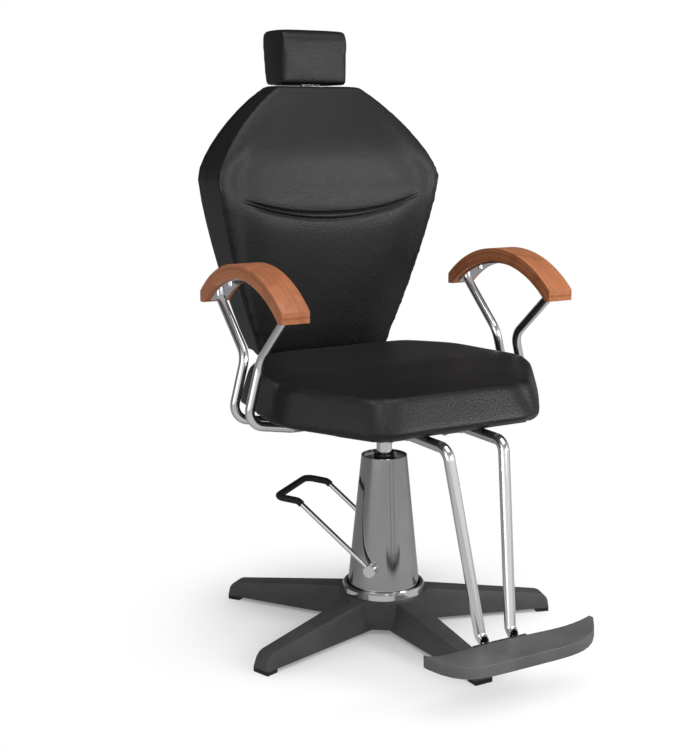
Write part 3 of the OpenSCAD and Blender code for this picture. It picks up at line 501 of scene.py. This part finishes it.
def rounded_outline(corners, radii, steps=8):
    """Points round a convex outline whose corners are arcs."""
    corners = np.array(corners)
    points = []
    neighbours = np.roll(corners, 1, axis=0), corners, np.roll(corners, -1, axis=0)
    for before, corner, after, radius in zip(*neighbours, radii):
        to_before = (before - corner) / np.linalg.norm(before - corner)
        to_after = (after - corner) / np.linalg.norm(after - corner)
        half = math.acos(np.clip(to_before @ to_after, -1, 1)) / 2
        inward = (to_before + to_after) / np.linalg.norm(to_before + to_after)
        centre = corner + inward * radius / math.sin(half)
        for share in np.linspace(-1, 1, steps):
            turn = share * (math.pi / 2 - half)
            side = to_after - to_before
            side /= np.linalg.norm(side)
            points.append(centre - inward * radius * math.cos(turn) + side * radius * math.sin(turn))
    return np.array(points)


def reach_of(outline, angles):
    """Distance from the origin to a closed outline in the directions of angles."""
    fine = np.concatenate([outline, outline[:1]])
    fine = np.concatenate([a + (b - a) * np.linspace(0, 1, 40)[:, None] for a, b in zip(fine[:-1], fine[1:])])
    turns = np.arctan2(fine[:, 1], fine[:, 0])
    order = np.argsort(turns)
    return np.interp(angles, turns[order], np.linalg.norm(fine, axis=1)[order], period=2 * math.pi)


def blow_up(piece, fixed, pressure, most, start):
    """Blows a cover up as cloth, and keeps the outward part of the movement, evened out."""
    facing = normals_of(piece)
    weigh(piece, "held", fixed)
    cloth = modify(piece, "Cover", "CLOTH")
    for key, value in CLOTH.items():
        setattr(cloth.settings, key, value)
    cloth.settings.uniform_pressure_force = pressure
    cloth.settings.effector_weights.gravity = 0.0
    scene = bpy.context.scene
    cloth.point_cache.frame_start = 1
    cloth.point_cache.frame_end = CLOTH_FRAMES
    for frame in range(1, CLOTH_FRAMES + 1):
        scene.frame_set(frame)
    take(piece)
    bpy.ops.object.modifier_apply(modifier="Cover")
    scene.frame_set(1)
    rise = np.clip(((points_of(piece) - start) * facing).sum(axis=1), 0.0, most)
    put_points(piece, start + facing * (spread(piece, rise, CLOTH_EVENING) * (1 - fixed))[:, None])
    piece.vertex_groups.clear()


def spread(piece, values, rounds):
    """Evens out a value over a piece's neighbouring points, so that a cover is tight without small folds."""
    ends = np.zeros(len(piece.data.edges) * 2, dtype=np.int32)
    piece.data.edges.foreach_get("vertices", ends)
    first, second = ends[::2], ends[1::2]
    size = len(values)
    count = np.maximum(np.bincount(first, minlength=size) + np.bincount(second, minlength=size), 1)
    for _ in range(rounds):
        near = np.bincount(first, values[second], size) + np.bincount(second, values[first], size)
        values = 0.5 * values + 0.5 * near / count
    return values


def close_seams(piece, finish, node):
    """One subdivision and the finish of an upholstered piece."""
    modify(piece, "Fine mesh", "SUBSURF", levels=1, render_levels=1)
    apply_all(piece)
    take(piece)
    bpy.ops.object.shade_smooth()
    dress(piece, finish, node)


def back_half_width(z):
    """Half width of the back at height z, whose sides bulge below and above its widest place."""
    def side(low, high, bulge):
        share = (z - low[1]) / (high[1] - low[1])
        inner = np.clip(share, 0, 1)
        return low[0] + (high[0] - low[0]) * share + bulge * np.power(4 * inner * (1 - inner), BULGE_POWER)

    lower, upper = side(BACK_LOW, BACK_WIDE, BACK_BULGES[0]), side(BACK_WIDE, BACK_TOP, BACK_BULGES[1])
    return smooth_least(lower, upper, 0.012)


def above_bend(z):
    """0 at the height where the back starts to lean, 1 at its top, and negative below the first."""
    return (z - BACK_WIDE[1]) / (BACK_TOP[1] - BACK_WIDE[1])


def rear_depth(places):
    """Y of each place as if the rear of the back didn't lean."""
    return places[:, 1] - np.clip(above_bend(places[:, 2]), 0, 1) * REAR_LEAN


def smooth_least(first, second, reach):
    """The lesser of two values, with a rounded change from one to the other."""
    share = np.clip(0.5 + (second - first) / (2 * reach), 0, 1)
    return second + (first - second) * share - reach * share * (1 - share)


def bend_blend(x, z):
    """How far the front draws back where it starts to lean, so that it curves instead of bending."""
    reach = 0.060 + 0.050 * ease(back_half_width(z) - np.abs(x), 0.0, 0.12)
    return BEND_SLOPE * np.clip(reach - np.abs(z - BACK_WIDE[1]), 0, None) ** 2 / (4 * reach)


def crease_line(side, line):
    """Height of one of the crease's lines at a distance from the middle."""
    height, rise, reach, power = line
    return height + rise * (side / reach) ** power


def back_relief(x, z, settings):
    """How far the back's front stands out at (x, z): a rim, a valley, two pillows, a crease and its roll."""
    side = np.abs(x)
    narrow = np.where(z < BACK_WIDE[1], 0.96, 0.96 - 0.16 * ease(z, BACK_WIDE[1], 0.93))
    edge = (back_half_width(z) - side) * narrow
    valley_at = settings.rim_width * (0.22 + 0.78 * ease(z, 0.55, 0.87))
    fade = (0.45 + 0.55 * ease(z, 0.56, 0.74)) * (1 - ease(z, 0.90, 1.05))
    past = edge - valley_at
    bowl = np.exp(-(past / np.where(past < 0, 0.4 * valley_at, 0.38 * settings.pillow_flank)) ** 2)
    inner = 1 / (1 + np.exp(-(past - 0.6 * settings.pillow_flank) / (0.16 * settings.pillow_flank)))
    relief = (settings.pillow_rise * inner - settings.valley_depth * bowl) * fade
    upper_line = crease_line(side, CREASE_TOP)
    lower_line = crease_line(side, CREASE_FOOT)
    ends = 1 - ease(side, 0.155, 0.214)
    above = z - upper_line
    below = lower_line - z
    roll = (upper_line - lower_line).clip(0.0015)
    across = (z - (upper_line + lower_line) / 2) / (roll * 0.5)
    between = (np.abs(across) < 1).astype(float)
    overhang = settings.overhang * np.exp(-np.clip(above, 0, None) / 0.05) * ease(above, 0, 0.014)
    upper_cut = settings.crease_depth * np.exp(-(above / np.where(above > 0, 0.0022, 0.0016)) ** 2)
    lower_cut = 0.4 * settings.crease_depth * np.exp(-(below / np.where(below > 0, 0.0055, 0.0018)) ** 2)
    bead = 0.0030 * np.sqrt(np.clip(1 - across**2, 0, 1))
    dish = 0.0050 * np.exp(-np.clip(below, 0, None) / 0.022) * (below > 0)
    return relief + ends * (overhang - upper_cut - lower_cut + (bead - 0.0018) * between - dish)


# ---- Sizes and colours that a user may change ----
LENGTH = {"subtype": "DISTANCE", "unit": "LENGTH"}
COLOUR = {"subtype": "COLOR", "size": 3, "min": 0.0, "max": 1.0}
SHARE = {"subtype": "FACTOR", "min": 0.0, "max": 1.0}
WATTS = {"subtype": "POWER", "unit": "POWER", "min": 0.0}


class UpholsterySettings(bpy.types.PropertyGroup):
    """Vinyl, its grain, and the forms of the back's cover."""

    vinyl_colour: bpy.props.FloatVectorProperty(
        name="Vinyl colour", description="Colour of the upholstery", default=(0.0045, 0.0045, 0.0047),
        **COLOUR)
    vinyl_roughness: bpy.props.FloatProperty(
        name="Vinyl roughness", description="How dull the vinyl is", default=0.37, **SHARE)
    vinyl_gloss: bpy.props.FloatProperty(
        name="Vinyl gloss", description="Strength of the vinyl's reflections", default=0.5, **SHARE)
    grain_per_metre: bpy.props.FloatProperty(
        name="Grain per metre", description="Pebbles of the vinyl's grain along one metre", min=200.0,
        max=2000.0, default=430.0)
    grain_strength: bpy.props.FloatProperty(
        name="Grain strength", description="Depth of the vinyl's grain", default=0.8, **SHARE)
    rim_width: bpy.props.FloatProperty(
        name="Rim width", description="From the back's edge to the valley beside its pillows", min=0.02,
        max=0.07, default=0.044, **LENGTH)
    valley_depth: bpy.props.FloatProperty(
        name="Valley depth", description="Depth of the valley beside the pillows", min=0.0, max=0.015,
        default=0.0048, **LENGTH)
    pillow_rise: bpy.props.FloatProperty(
        name="Pillow rise", description="How far the pillows stand out", min=0.0, max=0.015, default=0.0015,
        **LENGTH)
    pillow_flank: bpy.props.FloatProperty(
        name="Pillow flank", description="Width of the pillows' rising flanks", min=0.02, max=0.12,
        default=0.085, **LENGTH)
    crease_depth: bpy.props.FloatProperty(
        name="Crease depth", description="Depth of the crease under the upper pillow", min=0.0, max=0.02,
        default=0.0042, **LENGTH)
    overhang: bpy.props.FloatProperty(
        name="Overhang", description="How far the upper pillow hangs over the crease", min=0.0, max=0.015,
        default=0.0008, **LENGTH)
    corner_radius: bpy.props.FloatProperty(
        name="Corner radius", description="Rounding of the seat's side and rear corners, seen from above",
        min=0.01, max=0.09, default=0.07, **LENGTH)
    front_radius: bpy.props.FloatProperty(
        name="Front corner radius", description="Rounding of the seat's front corners, seen from above",
        min=0.01, max=0.14, default=0.10, **LENGTH)


class WoodSettings(bpy.types.PropertyGroup):
    """The bent armrests."""

    wood_light: bpy.props.FloatVectorProperty(
        name="Light wood", description="Colour of the early grain", default=(0.42, 0.155, 0.070), **COLOUR)
    wood_mid: bpy.props.FloatVectorProperty(
        name="Middle wood", description="Main colour of the wood", default=(0.325, 0.115, 0.048), **COLOUR)
    wood_dark: bpy.props.FloatVectorProperty(
        name="Dark wood", description="Colour of pores and glue lines", default=(0.17, 0.052, 0.022), **COLOUR)
    edge_radius: bpy.props.FloatProperty(
        name="Edge radius", description="Rounding of the armrests' edges", min=0.001, max=0.008,
        default=0.0035, **LENGTH)
    arch_centre: bpy.props.FloatVectorProperty(
        name="Arch centre", description="Centre that the wood is bent round", subtype="TRANSLATION",
        unit="LENGTH", size=3, default=(0.0, -0.005, 0.4927))
    arch_radius: bpy.props.FloatProperty(
        name="Arch radius", description="Radius of the bend at mid thickness", min=0.1, max=0.5, default=0.243,
        **LENGTH)
    glue_radius: bpy.props.FloatProperty(
        name="Glue line radius", description="Radius of the glue line between the two plies", min=0.1, max=0.5,
        default=0.2477, **LENGTH)


class MetalSettings(bpy.types.PropertyGroup):
    """Plating and castings."""

    chrome_colour: bpy.props.FloatVectorProperty(
        name="Chrome", description="Colour of the bright plating", default=(0.78, 0.78, 0.79), **COLOUR)
    cone_colour: bpy.props.FloatVectorProperty(
        name="Cone plating", description="Colour of the column cover's darker plating",
        default=(0.44, 0.44, 0.45), **COLOUR)
    casting_colour: bpy.props.FloatVectorProperty(
        name="Base paint", description="Colour of the star base", default=(0.045, 0.045, 0.046), **COLOUR)
    plate_colour: bpy.props.FloatVectorProperty(
        name="Foot plate paint", description="Colour of the foot plate", default=(0.075, 0.075, 0.076),
        **COLOUR)
    casting_round: bpy.props.FloatProperty(
        name="Casting rounding", description="Rounding of the casting's edges", min=0.0005, max=0.006,
        default=0.003, **LENGTH)


class StageSettings(bpy.types.PropertyGroup):
    """Floor, sky and lamps."""

    sky_top: bpy.props.FloatProperty(
        name="Sky overhead", description="Strength of the soft light from above", min=0.0, max=2.0,
        default=1.15)
    sky_side: bpy.props.FloatProperty(
        name="Sky at the side", description="Strength of the soft light from the sides", min=0.0, max=2.0,
        default=0.08)
    sky_mirror: bpy.props.FloatProperty(
        name="Sky in gloss", description="Brightness of the background in glossy surfaces", min=0.0, max=1.0,
        default=0.8)
    sky_behind: bpy.props.FloatProperty(
        name="Sky behind", description="Brightness in gloss of the studio's dark end behind the chair",
        min=0.0, max=1.0, default=0.04)
    sky_low: bpy.props.FloatProperty(
        name="Horizon behind", description="Brightness in gloss of the horizon behind the chair", min=0.0,
        max=1.0, default=0.18)
    key_watts: bpy.props.FloatProperty(
        name="Key lamp", description="Power of the large lamp overhead", default=34.0, **WATTS)
    front_watts: bpy.props.FloatProperty(
        name="Front lamp", description="Power of the lamp in front of the chair", default=16.0, **WATTS)
    near_watts: bpy.props.FloatProperty(
        name="Near lamp", description="Power of the small lamp close to the chair, on the right", default=11.5,
        **WATTS)
    fill_watts: bpy.props.FloatProperty(
        name="Fill lamp", description="Power of the tall lamp on the left", default=4.5, **WATTS)
    floor_in_gloss: bpy.props.FloatProperty(
        name="Floor in gloss", description="Brightness of the floor in glossy surfaces", default=0.45, **SHARE)
    floor_glow: bpy.props.FloatProperty(
        name="Floor white", description="Share of plain white in the floor", default=0.2, **SHARE)


# ---- Finishes of the frame's own parts ----
def finishes():
    """One material for each of the record's slots, made once."""
    scene = bpy.context.scene
    soft, wood, metal = scene.chair_upholstery, scene.chair_wood, scene.chair_metal
    makers = {
        "black_vinyl": lambda n: vinyl(n, soft),
        "cherry_wood": lambda n: cherry(n, wood),
        "chrome": lambda n: plated(n, metal.chrome_colour, 0.045, 0.02),
        "dark_chrome": lambda n: plated(n, metal.cone_colour, 0.12, 0.05),
        "black_casting": lambda n: painted(n, metal.casting_colour, 0.50, 420.0, 0.10, 0.35),
        "grey_casting": lambda n: painted(n, metal.plate_colour, 0.48, 520.0, 0.12, 0.4),
        "black_steel": lambda n: painted(n, (0.018, 0.018, 0.020), 0.45, 380.0, 0.10),
        "black_plastic": lambda n: painted(n, (0.020, 0.020, 0.020), 0.50, 700.0, 0.14),
        "black_rubber": lambda n: painted(n, (0.012, 0.012, 0.012), 0.62, 900.0, 0.20, 0.25),
        "pump_iron": lambda n: cast_iron(n, (0.12, 0.12, 0.13)),
        "steel": lambda n: bare_metal(n, (0.50, 0.50, 0.52), 0.30, 160.0),
        "bronze": lambda n: bare_metal(n, (0.55, 0.36, 0.14), 0.30, 160.0),
        "fibre": lambda n: fibre(n, (0.20, 0.14, 0.09)),
        "plywood": lambda n: plywood(n, (0.030, 0.026, 0.022)),
    }
    made = {}
    for slot in sorted(set(SLOT_OF.values())):
        name = slot.replace("_", " ")
        known = bpy.data.materials.get(name)
        made[slot] = known if known else makers[slot](name).material
    return made


# ---- Operators ----
class CHAIR_OT_frame_finishes(bpy.types.Operator):
    """Give every part of the frame its finish"""

    bl_idname = "chair.frame_finishes"
    bl_label = "Frame Finishes"

    def execute(self, context):
        made = finishes()
        for node, part in NODES.items():
            part.data.materials.clear()
            part.data.materials.append(made[SLOT_OF[node]])
        return {"FINISHED"}


class CHAIR_OT_seat_cushion(bpy.types.Operator):
    """Stuff the seat cushion"""

    bl_idname = "chair.seat_cushion"
    bl_label = "Seat Cushion"

    def execute(self, context):
        settings = context.scene.chair_upholstery
        low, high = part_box("seat_cushion")
        board_low, board_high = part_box("seat_board")
        piece = shell_of("seat_cushion", "seat_cover", dissolve=False)

        def held(points):
            return 1 - ease(points[:, 2], low.z + 0.012, low.z + 0.022)

        def kept(points):
            """The pocket that the seat board fills."""
            margin = 0.003
            beside = board_high.x + margin - np.abs(points[:, 0])
            inside = np.minimum(beside, board_high.z + margin - points[:, 2])
            inside = np.minimum(inside, points[:, 1] - board_low.y + margin)
            return (inside > 0).astype(float)

        stuff(piece, "seat_cushion", held, kept,
              voxel=0.0055, shrink=0.0015, pressure=4.0, most=0.005, rounds=16)
        places = points_of(piece)
        radii = [settings.front_radius] * 2 + [settings.corner_radius] * 6
        self.round_corners(places, radii, 1 - kept(places))
        put_points(piece, places)
        top = ease(places[:, 2], high.z - 0.030, high.z - 0.020) * ease(normals_of(piece)[:, 2], 0.80, 0.93)
        outline = reach_of(np.array(SEAT_PLAN), np.arctan2(places[:, 1], places[:, 0]))
        inner = ease(outline - np.linalg.norm(places[:, :2], axis=1), 0.030, 0.060)
        soften(piece, top * inner, 60)
        self.soften_corners(piece, low.z)
        close_seams(piece, finishes()["black_vinyl"], "seat_cushion")
        return {"FINISHED"}

    @staticmethod
    def soften_corners(piece, bottom, reach=0.045):
        """Smooths the upright edges at the front and side corners, above the seam at the bottom."""
        places = points_of(piece)
        corners = SEAT_PLAN[1:4]
        away = np.min([np.hypot(np.abs(places[:, 0]) - x, places[:, 1] - y) for x, y in corners], axis=0)
        soften(piece, np.exp(-(away / reach) ** 2) * ease(places[:, 2], bottom + 0.01, bottom + 0.03), 30)

    @staticmethod
    def round_corners(places, radii, free):
        """Draws the corners in along an outline with arcs, as foam and a stretched cover do."""
        angles = np.arctan2(places[:, 1], places[:, 0])
        sharp = reach_of(np.array(SEAT_PLAN), angles)
        ratio = reach_of(rounded_outline(SEAT_PLAN, radii), angles) / sharp
        share = ease(np.linalg.norm(places[:, :2], axis=1) / sharp, 0.55, 0.85) * free
        places[:, :2] *= (1 + (ratio - 1) * share)[:, None]


class CHAIR_OT_back_cushion(bpy.types.Operator):
    """Stuff the back cushion and sew its crease"""

    bl_idname = "chair.back_cushion"
    bl_label = "Back Cushion"

    def execute(self, context):
        settings = context.scene.chair_upholstery
        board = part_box("back_board")[0].y
        piece = shell_of("back_cushion", "back_cover", dissolve=False)

        def held(points):
            return ease(rear_depth(points), board - 0.03, board - 0.018)

        def kept(points):
            """The recess for the board, and the slot for the headrest's guide."""
            depth = rear_depth(points)
            recess = (self.inside(points) > 0.006) & (depth > board - 0.003)
            slot = (np.abs(points[:, 0]) < 0.034) & (points[:, 2] > 0.915) & (depth > board - 0.022)
            return (recess | (slot & (points[:, 2] < 1.064))).astype(float)

        stuff(piece, "back_cushion", held, kept,
              voxel=0.0045, shrink=0.001, pressure=3.0, most=0.004, rounds=12,
              swell_low=(0.001, 0, 0.003), swell_high=(0.001, 0, 0.0035))
        self.flatten_sides(piece)
        self.curve_front(piece)
        self.refine_crease(piece)
        places = points_of(piece)
        places[:, 1] -= back_relief(places[:, 0], places[:, 2], settings) * self.front_share(piece)
        put_points(piece, places)
        take(piece)
        bpy.ops.object.shade_smooth()
        dress(piece, finishes()["black_vinyl"], "back_cushion")
        return {"FINISHED"}

    @staticmethod
    def inside(points):
        """How far points lie inside the back's outline."""
        rim = np.minimum(back_half_width(points[:, 2]) - np.abs(points[:, 0]), BACK_TOP[1] - points[:, 2])
        return np.minimum(rim, points[:, 2] - BACK_LOW[1])

    def flatten_sides(self, piece):
        """Draws the sides onto the back's outline, behind the rounding of their front edge."""
        places = points_of(piece)
        heights = places[:, 2]
        step = 0.0002
        reach = self.inside(places)
        ahead = [self.inside(places + np.array(by)) - reach for by in ((step, 0, 0), (0, 0, step))]
        slope = np.stack(ahead, axis=1)
        slope /= np.maximum(np.linalg.norm(slope, axis=1), 1e-9)[:, None]
        below = FRONT_LOW_Y - (FRONT_LOW_Y - FRONT_WIDE_Y) * ease(heights, BACK_LOW[1], BACK_WIDE[1])
        above = FRONT_WIDE_Y + (FRONT_TOP_Y - REAR_LEAN - FRONT_WIDE_Y) * above_bend(heights)
        front = np.where(heights > BACK_WIDE[1], above, below)
        behind = ease(rear_depth(places) - front, 0.002, 0.014)
        share = behind * (1 - ease(reach, 0.004, 0.007)) * (1 - ease(heights, 1.058, 1.064))
        share *= ease(heights, 0.538, 0.545) * ease(np.abs(heights - BACK_WIDE[1]), 0.008, 0.026)
        places[:, 0] -= slope[:, 0] * reach * share
        places[:, 2] -= slope[:, 1] * reach * share
        put_points(piece, places)

    @staticmethod
    def front_share(piece):
        """1 where a piece faces the sitter, and 0 on its sides and rear."""
        return ease(-normals_of(piece)[:, 1], 0.35, 0.8)

    def curve_front(self, piece):
        """Curves the front where it starts to lean back, and lowers its bottom edge to the seat."""
        places, front = points_of(piece), self.front_share(piece)
        lip = 1 - ease(places[:, 2], BACK_LOW[1] + 0.002, BACK_LOW[1] + 0.035)
        places[:, 2] -= 0.010 * lip * (1 - ease(places[:, 1], 0.250, 0.285))
        places[:, 1] += bend_blend(places[:, 0], places[:, 2]) * front
        put_points(piece, places)
        near = 1 - ease(np.abs(places[:, 2] - BACK_WIDE[1]), 0.05, 0.10)
        inward = ease(back_half_width(places[:, 2]) - np.abs(places[:, 0]), 0.012, 0.035)
        soften(piece, near * inward * front, 30)

    @staticmethod
    def refine_crease(piece):
        """Splits the front's faces near the crease, so that its narrow roll has enough of them."""
        take(piece)
        for reach in (0.024, 0.018):
            bpy.ops.object.mode_set(mode="EDIT")
            bpy.ops.mesh.select_mode(type="FACE")
            bpy.ops.mesh.select_all(action="DESELECT")
            bpy.ops.object.mode_set(mode="OBJECT")
            count = len(piece.data.polygons)
            centres, facing = np.zeros(count * 3), np.zeros(count * 3)
            piece.data.polygons.foreach_get("center", centres)
            piece.data.polygons.foreach_get("normal", facing)
            centres, facing = centres.reshape(-1, 3), facing.reshape(-1, 3)
            side = np.abs(centres[:, 0])
            near = np.abs(centres[:, 2] - crease_line(side, CREASE_MIDDLE)) < reach
            near &= (side < 0.212) & (facing[:, 1] < -0.7)
            piece.data.polygons.foreach_set("select", near)
            bpy.ops.object.mode_set(mode="EDIT")
            bpy.ops.mesh.subdivide(number_cuts=1, smoothness=0.0)
            bpy.ops.object.mode_set(mode="OBJECT")


class CHAIR_OT_headrest_pad(bpy.types.Operator):
    """Stuff the headrest"""

    bl_idname = "chair.headrest_pad"
    bl_label = "Headrest"

    def execute(self, context):
        low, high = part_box("headrest_pad")
        piece = shell_of("headrest_pad", "headrest_cover", dissolve=False)

        def held(points):
            core = 1 - ease(np.abs(points[:, 0]), 0.057, 0.060)
            shelf = ease(points[:, 1], low.y + 0.030, low.y + 0.034)
            shelf *= 1 - ease(points[:, 1], high.y - 0.026, high.y - 0.02)
            return core * shelf * (1 - ease(points[:, 2], high.z - 0.02, high.z - 0.014))

        def kept(points):
            return (held(points) > 0.5).astype(float)

        stuff(piece, "headrest_pad", held, kept,
              voxel=0.0035, shrink=0.001, pressure=3.0, most=0.003, rounds=14,
              swell_low=(0, 0, 0.002))
        close_seams(piece, finishes()["black_vinyl"], "headrest_pad")
        return {"FINISHED"}


class CHAIR_OT_armrests(bpy.types.Operator):
    """Shape both bent wooden armrests"""

    bl_idname = "chair.armrests"
    bl_label = "Armrests"

    def execute(self, context):
        settings = context.scene.chair_wood
        for side in ("left", "right"):
            node = f"{side}_armrest"
            piece = shell_of(node, f"{side}_arm_wood")
            round_edges(piece, settings.edge_radius, 4, over=30.0)
            dress(piece, finishes()["cherry_wood"], node)
        return {"FINISHED"}


class CHAIR_OT_star_base(bpy.types.Operator):
    """Cast the star base with rounded edges"""

    bl_idname = "chair.star_base"
    bl_label = "Star Base"

    def execute(self, context):
        settings = context.scene.chair_metal
        piece = shell_of("star_base", "base_casting")
        round_edges(piece, settings.casting_round, 3, over=24.0)
        dress(piece, finishes()["black_casting"], "star_base")
        return {"FINISHED"}


class CHAIR_OT_foot_plate(bpy.types.Operator):
    """Finish the foot plate with soft edges"""

    bl_idname = "chair.foot_plate"
    bl_label = "Foot Plate"

    def execute(self, context):
        piece = shell_of("foot_tread", "foot_plate")
        round_edges(piece, 0.0018, 3, over=40.0)
        dress(piece, finishes()["grey_casting"], "foot_tread")
        return {"FINISHED"}


class CHAIR_OT_back_shell(bpy.types.Operator):
    """Round the moulded shell behind the back"""

    bl_idname = "chair.back_shell"
    bl_label = "Back Shell"

    def execute(self, context):
        piece = shell_of("rear_cover", "back_shell")
        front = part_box("rear_cover")[0].y

        def rear(points):
            """1 at the corners of the rear face."""
            return (rear_depth(points) > front + 0.008).astype(float)

        round_edges(piece, 0.004, 3, chosen=rear)
        dress(piece, finishes()["black_vinyl"], "rear_cover")
        return {"FINISHED"}


class CHAIR_OT_stage(bpy.types.Operator):
    """Lay the floor and set the lamps and the camera"""

    bl_idname = "chair.stage"
    bl_label = "Stage"

    def execute(self, context):
        settings = context.scene.chair_stage
        self.lay_floor(settings)
        self.set_sky(context.scene, settings)
        for name, place, target, size, power in LAMPS:
            self.hang_lamp(name, place, target, size, getattr(settings, power))
        deselect()
        bpy.ops.object.camera_add(location=CAMERA_AT, rotation=(math.pi / 2 - CAMERA_PITCH, 0.0, CAMERA_YAW))
        camera = context.object
        camera.data.lens = CAMERA_LENS
        camera.data.sensor_width = 36.0
        camera.data.clip_end = 60.0
        context.scene.camera = camera
        context.scene.view_settings.view_transform = "Standard"
        return {"FINISHED"}

    @staticmethod
    def hang_lamp(name, place, target, size, energy):
        deselect()
        bpy.ops.object.light_add(type="AREA", location=place)
        lamp = bpy.context.object
        lamp.name = name
        lamp.rotation_euler = (Vector(target) - Vector(place)).to_track_quat("-Z", "Y").to_euler()
        lamp.data.shape = "RECTANGLE"
        lamp.data.size, lamp.data.size_y = size
        lamp.data.energy = energy

    def lay_floor(self, settings):
        """White round about, and the lamps' own shadows close to the chair."""
        deselect()
        bpy.ops.mesh.primitive_circle_add(vertices=96, radius=FLOOR_RADIUS, fill_type="NGON")
        floor = bpy.context.object
        floor.name = "floor"
        material = bpy.data.materials.new("studio floor")
        g = Graph(material)
        direct, glossy = g.rays()
        place = g.node("ShaderNodeTexCoord", {}, output="Object")
        distance = g.node("ShaderNodeVectorMath", {"operation": "LENGTH"}, place, output="Value")
        near = settings.floor_glow
        white_share = distance.step(0.26, 0.56) * (1 - near) + near
        matt = g.node("ShaderNodeBsdfDiffuse", {}, (0.92, 0.92, 0.92, 1.0))
        level = settings.floor_in_gloss
        split = g.node("ShaderNodeSeparateXYZ", {}, place, output="Y")
        gloss = g.mix(split.step(-0.3, 0.6), (level, level, level), (0.4 * level, 0.4 * level, 0.4 * level))
        white = g.node("ShaderNodeEmission", {}, g.mix(direct, gloss, (1.0, 1.0, 1.0)), 1.0)
        share = direct.math("MAXIMUM", white_share * direct, glossy * 0.85)
        g.show("ShaderNodeOutputMaterial", g.node("ShaderNodeMixShader", {}, share, matt, white))
        floor.data.materials.append(material)

    def set_sky(self, scene, settings):
        """White behind the chair, a soft dome for matt surfaces, a studio with a dark end for glossy ones."""
        world = bpy.data.worlds.new("studio")
        scene.world = world
        g = Graph(world)
        direct, glossy = g.rays()
        direction = g.node("ShaderNodeTexCoord", {}, output="Generated")
        parts = g.node("ShaderNodeSeparateXYZ", {}, direction, output="Y")
        up = Wire(g, parts.socket.node.outputs["Z"])
        dome = up.step(0.0, 1.0) * (settings.sky_top - settings.sky_side) + settings.sky_side
        behind = parts.step(-0.35, 0.35)
        low = 1 - up.step(0.12, 0.34)
        dark = settings.sky_behind + low * (settings.sky_low - settings.sky_behind)
        left = 1 - Wire(g, parts.socket.node.outputs["X"]).step(-0.95, -0.6)
        front = settings.sky_mirror * (1 - up.step(0.25, 0.75) * 0.6) * (1 + left)
        mirror = front * (1 - behind) + dark * behind
        strength = direct + (1 - direct) * (glossy * mirror + (1 - glossy) * dome)
        g.show("ShaderNodeOutputWorld", g.node("ShaderNodeBackground", {}, (1.0, 1.0, 1.0, 1.0), strength))


class CHAIR_PT_panel(bpy.types.Panel):
    """Lists the chair's operators and settings"""

    bl_idname = "CHAIR_PT_panel"
    bl_label = "Barber Chair"
    bl_space_type = "VIEW_3D"
    bl_region_type = "UI"
    bl_category = "Barber Chair"

    def draw(self, context):
        for operator in OPERATORS:
            self.layout.operator(operator.bl_idname)
        for name, group in SETTINGS.items():
            box = self.layout.box()
            for key in group.__annotations__:
                box.prop(getattr(context.scene, name), key)


OPERATORS = (
    CHAIR_OT_frame_finishes, CHAIR_OT_seat_cushion, CHAIR_OT_back_cushion, CHAIR_OT_headrest_pad,
    CHAIR_OT_armrests, CHAIR_OT_star_base, CHAIR_OT_foot_plate, CHAIR_OT_back_shell, CHAIR_OT_stage,
)
SETTINGS = {
    "chair_upholstery": UpholsterySettings,
    "chair_wood": WoodSettings,
    "chair_metal": MetalSettings,
    "chair_stage": StageSettings,
}


def register():
    for group in SETTINGS.values():
        bpy.utils.register_class(group)
    for name, group in SETTINGS.items():
        setattr(bpy.types.Scene, name, bpy.props.PointerProperty(type=group))
    for operator in OPERATORS:
        bpy.utils.register_class(operator)
    bpy.utils.register_class(CHAIR_PT_panel)


def unregister():
    bpy.utils.unregister_class(CHAIR_PT_panel)
    for operator in reversed(OPERATORS):
        bpy.utils.unregister_class(operator)
    for name, group in SETTINGS.items():
        delattr(bpy.types.Scene, name)
        bpy.utils.unregister_class(group)


def main():
    register()
    bpy.ops.chair.stage()
    bpy.ops.chair.frame_finishes()
    bpy.ops.chair.seat_cushion()
    bpy.ops.chair.back_cushion()
    bpy.ops.chair.headrest_pad()
    bpy.ops.chair.armrests()
    bpy.ops.chair.star_base()
    bpy.ops.chair.foot_plate()
    bpy.ops.chair.back_shell()


if __name__ == "__main__":
    main()
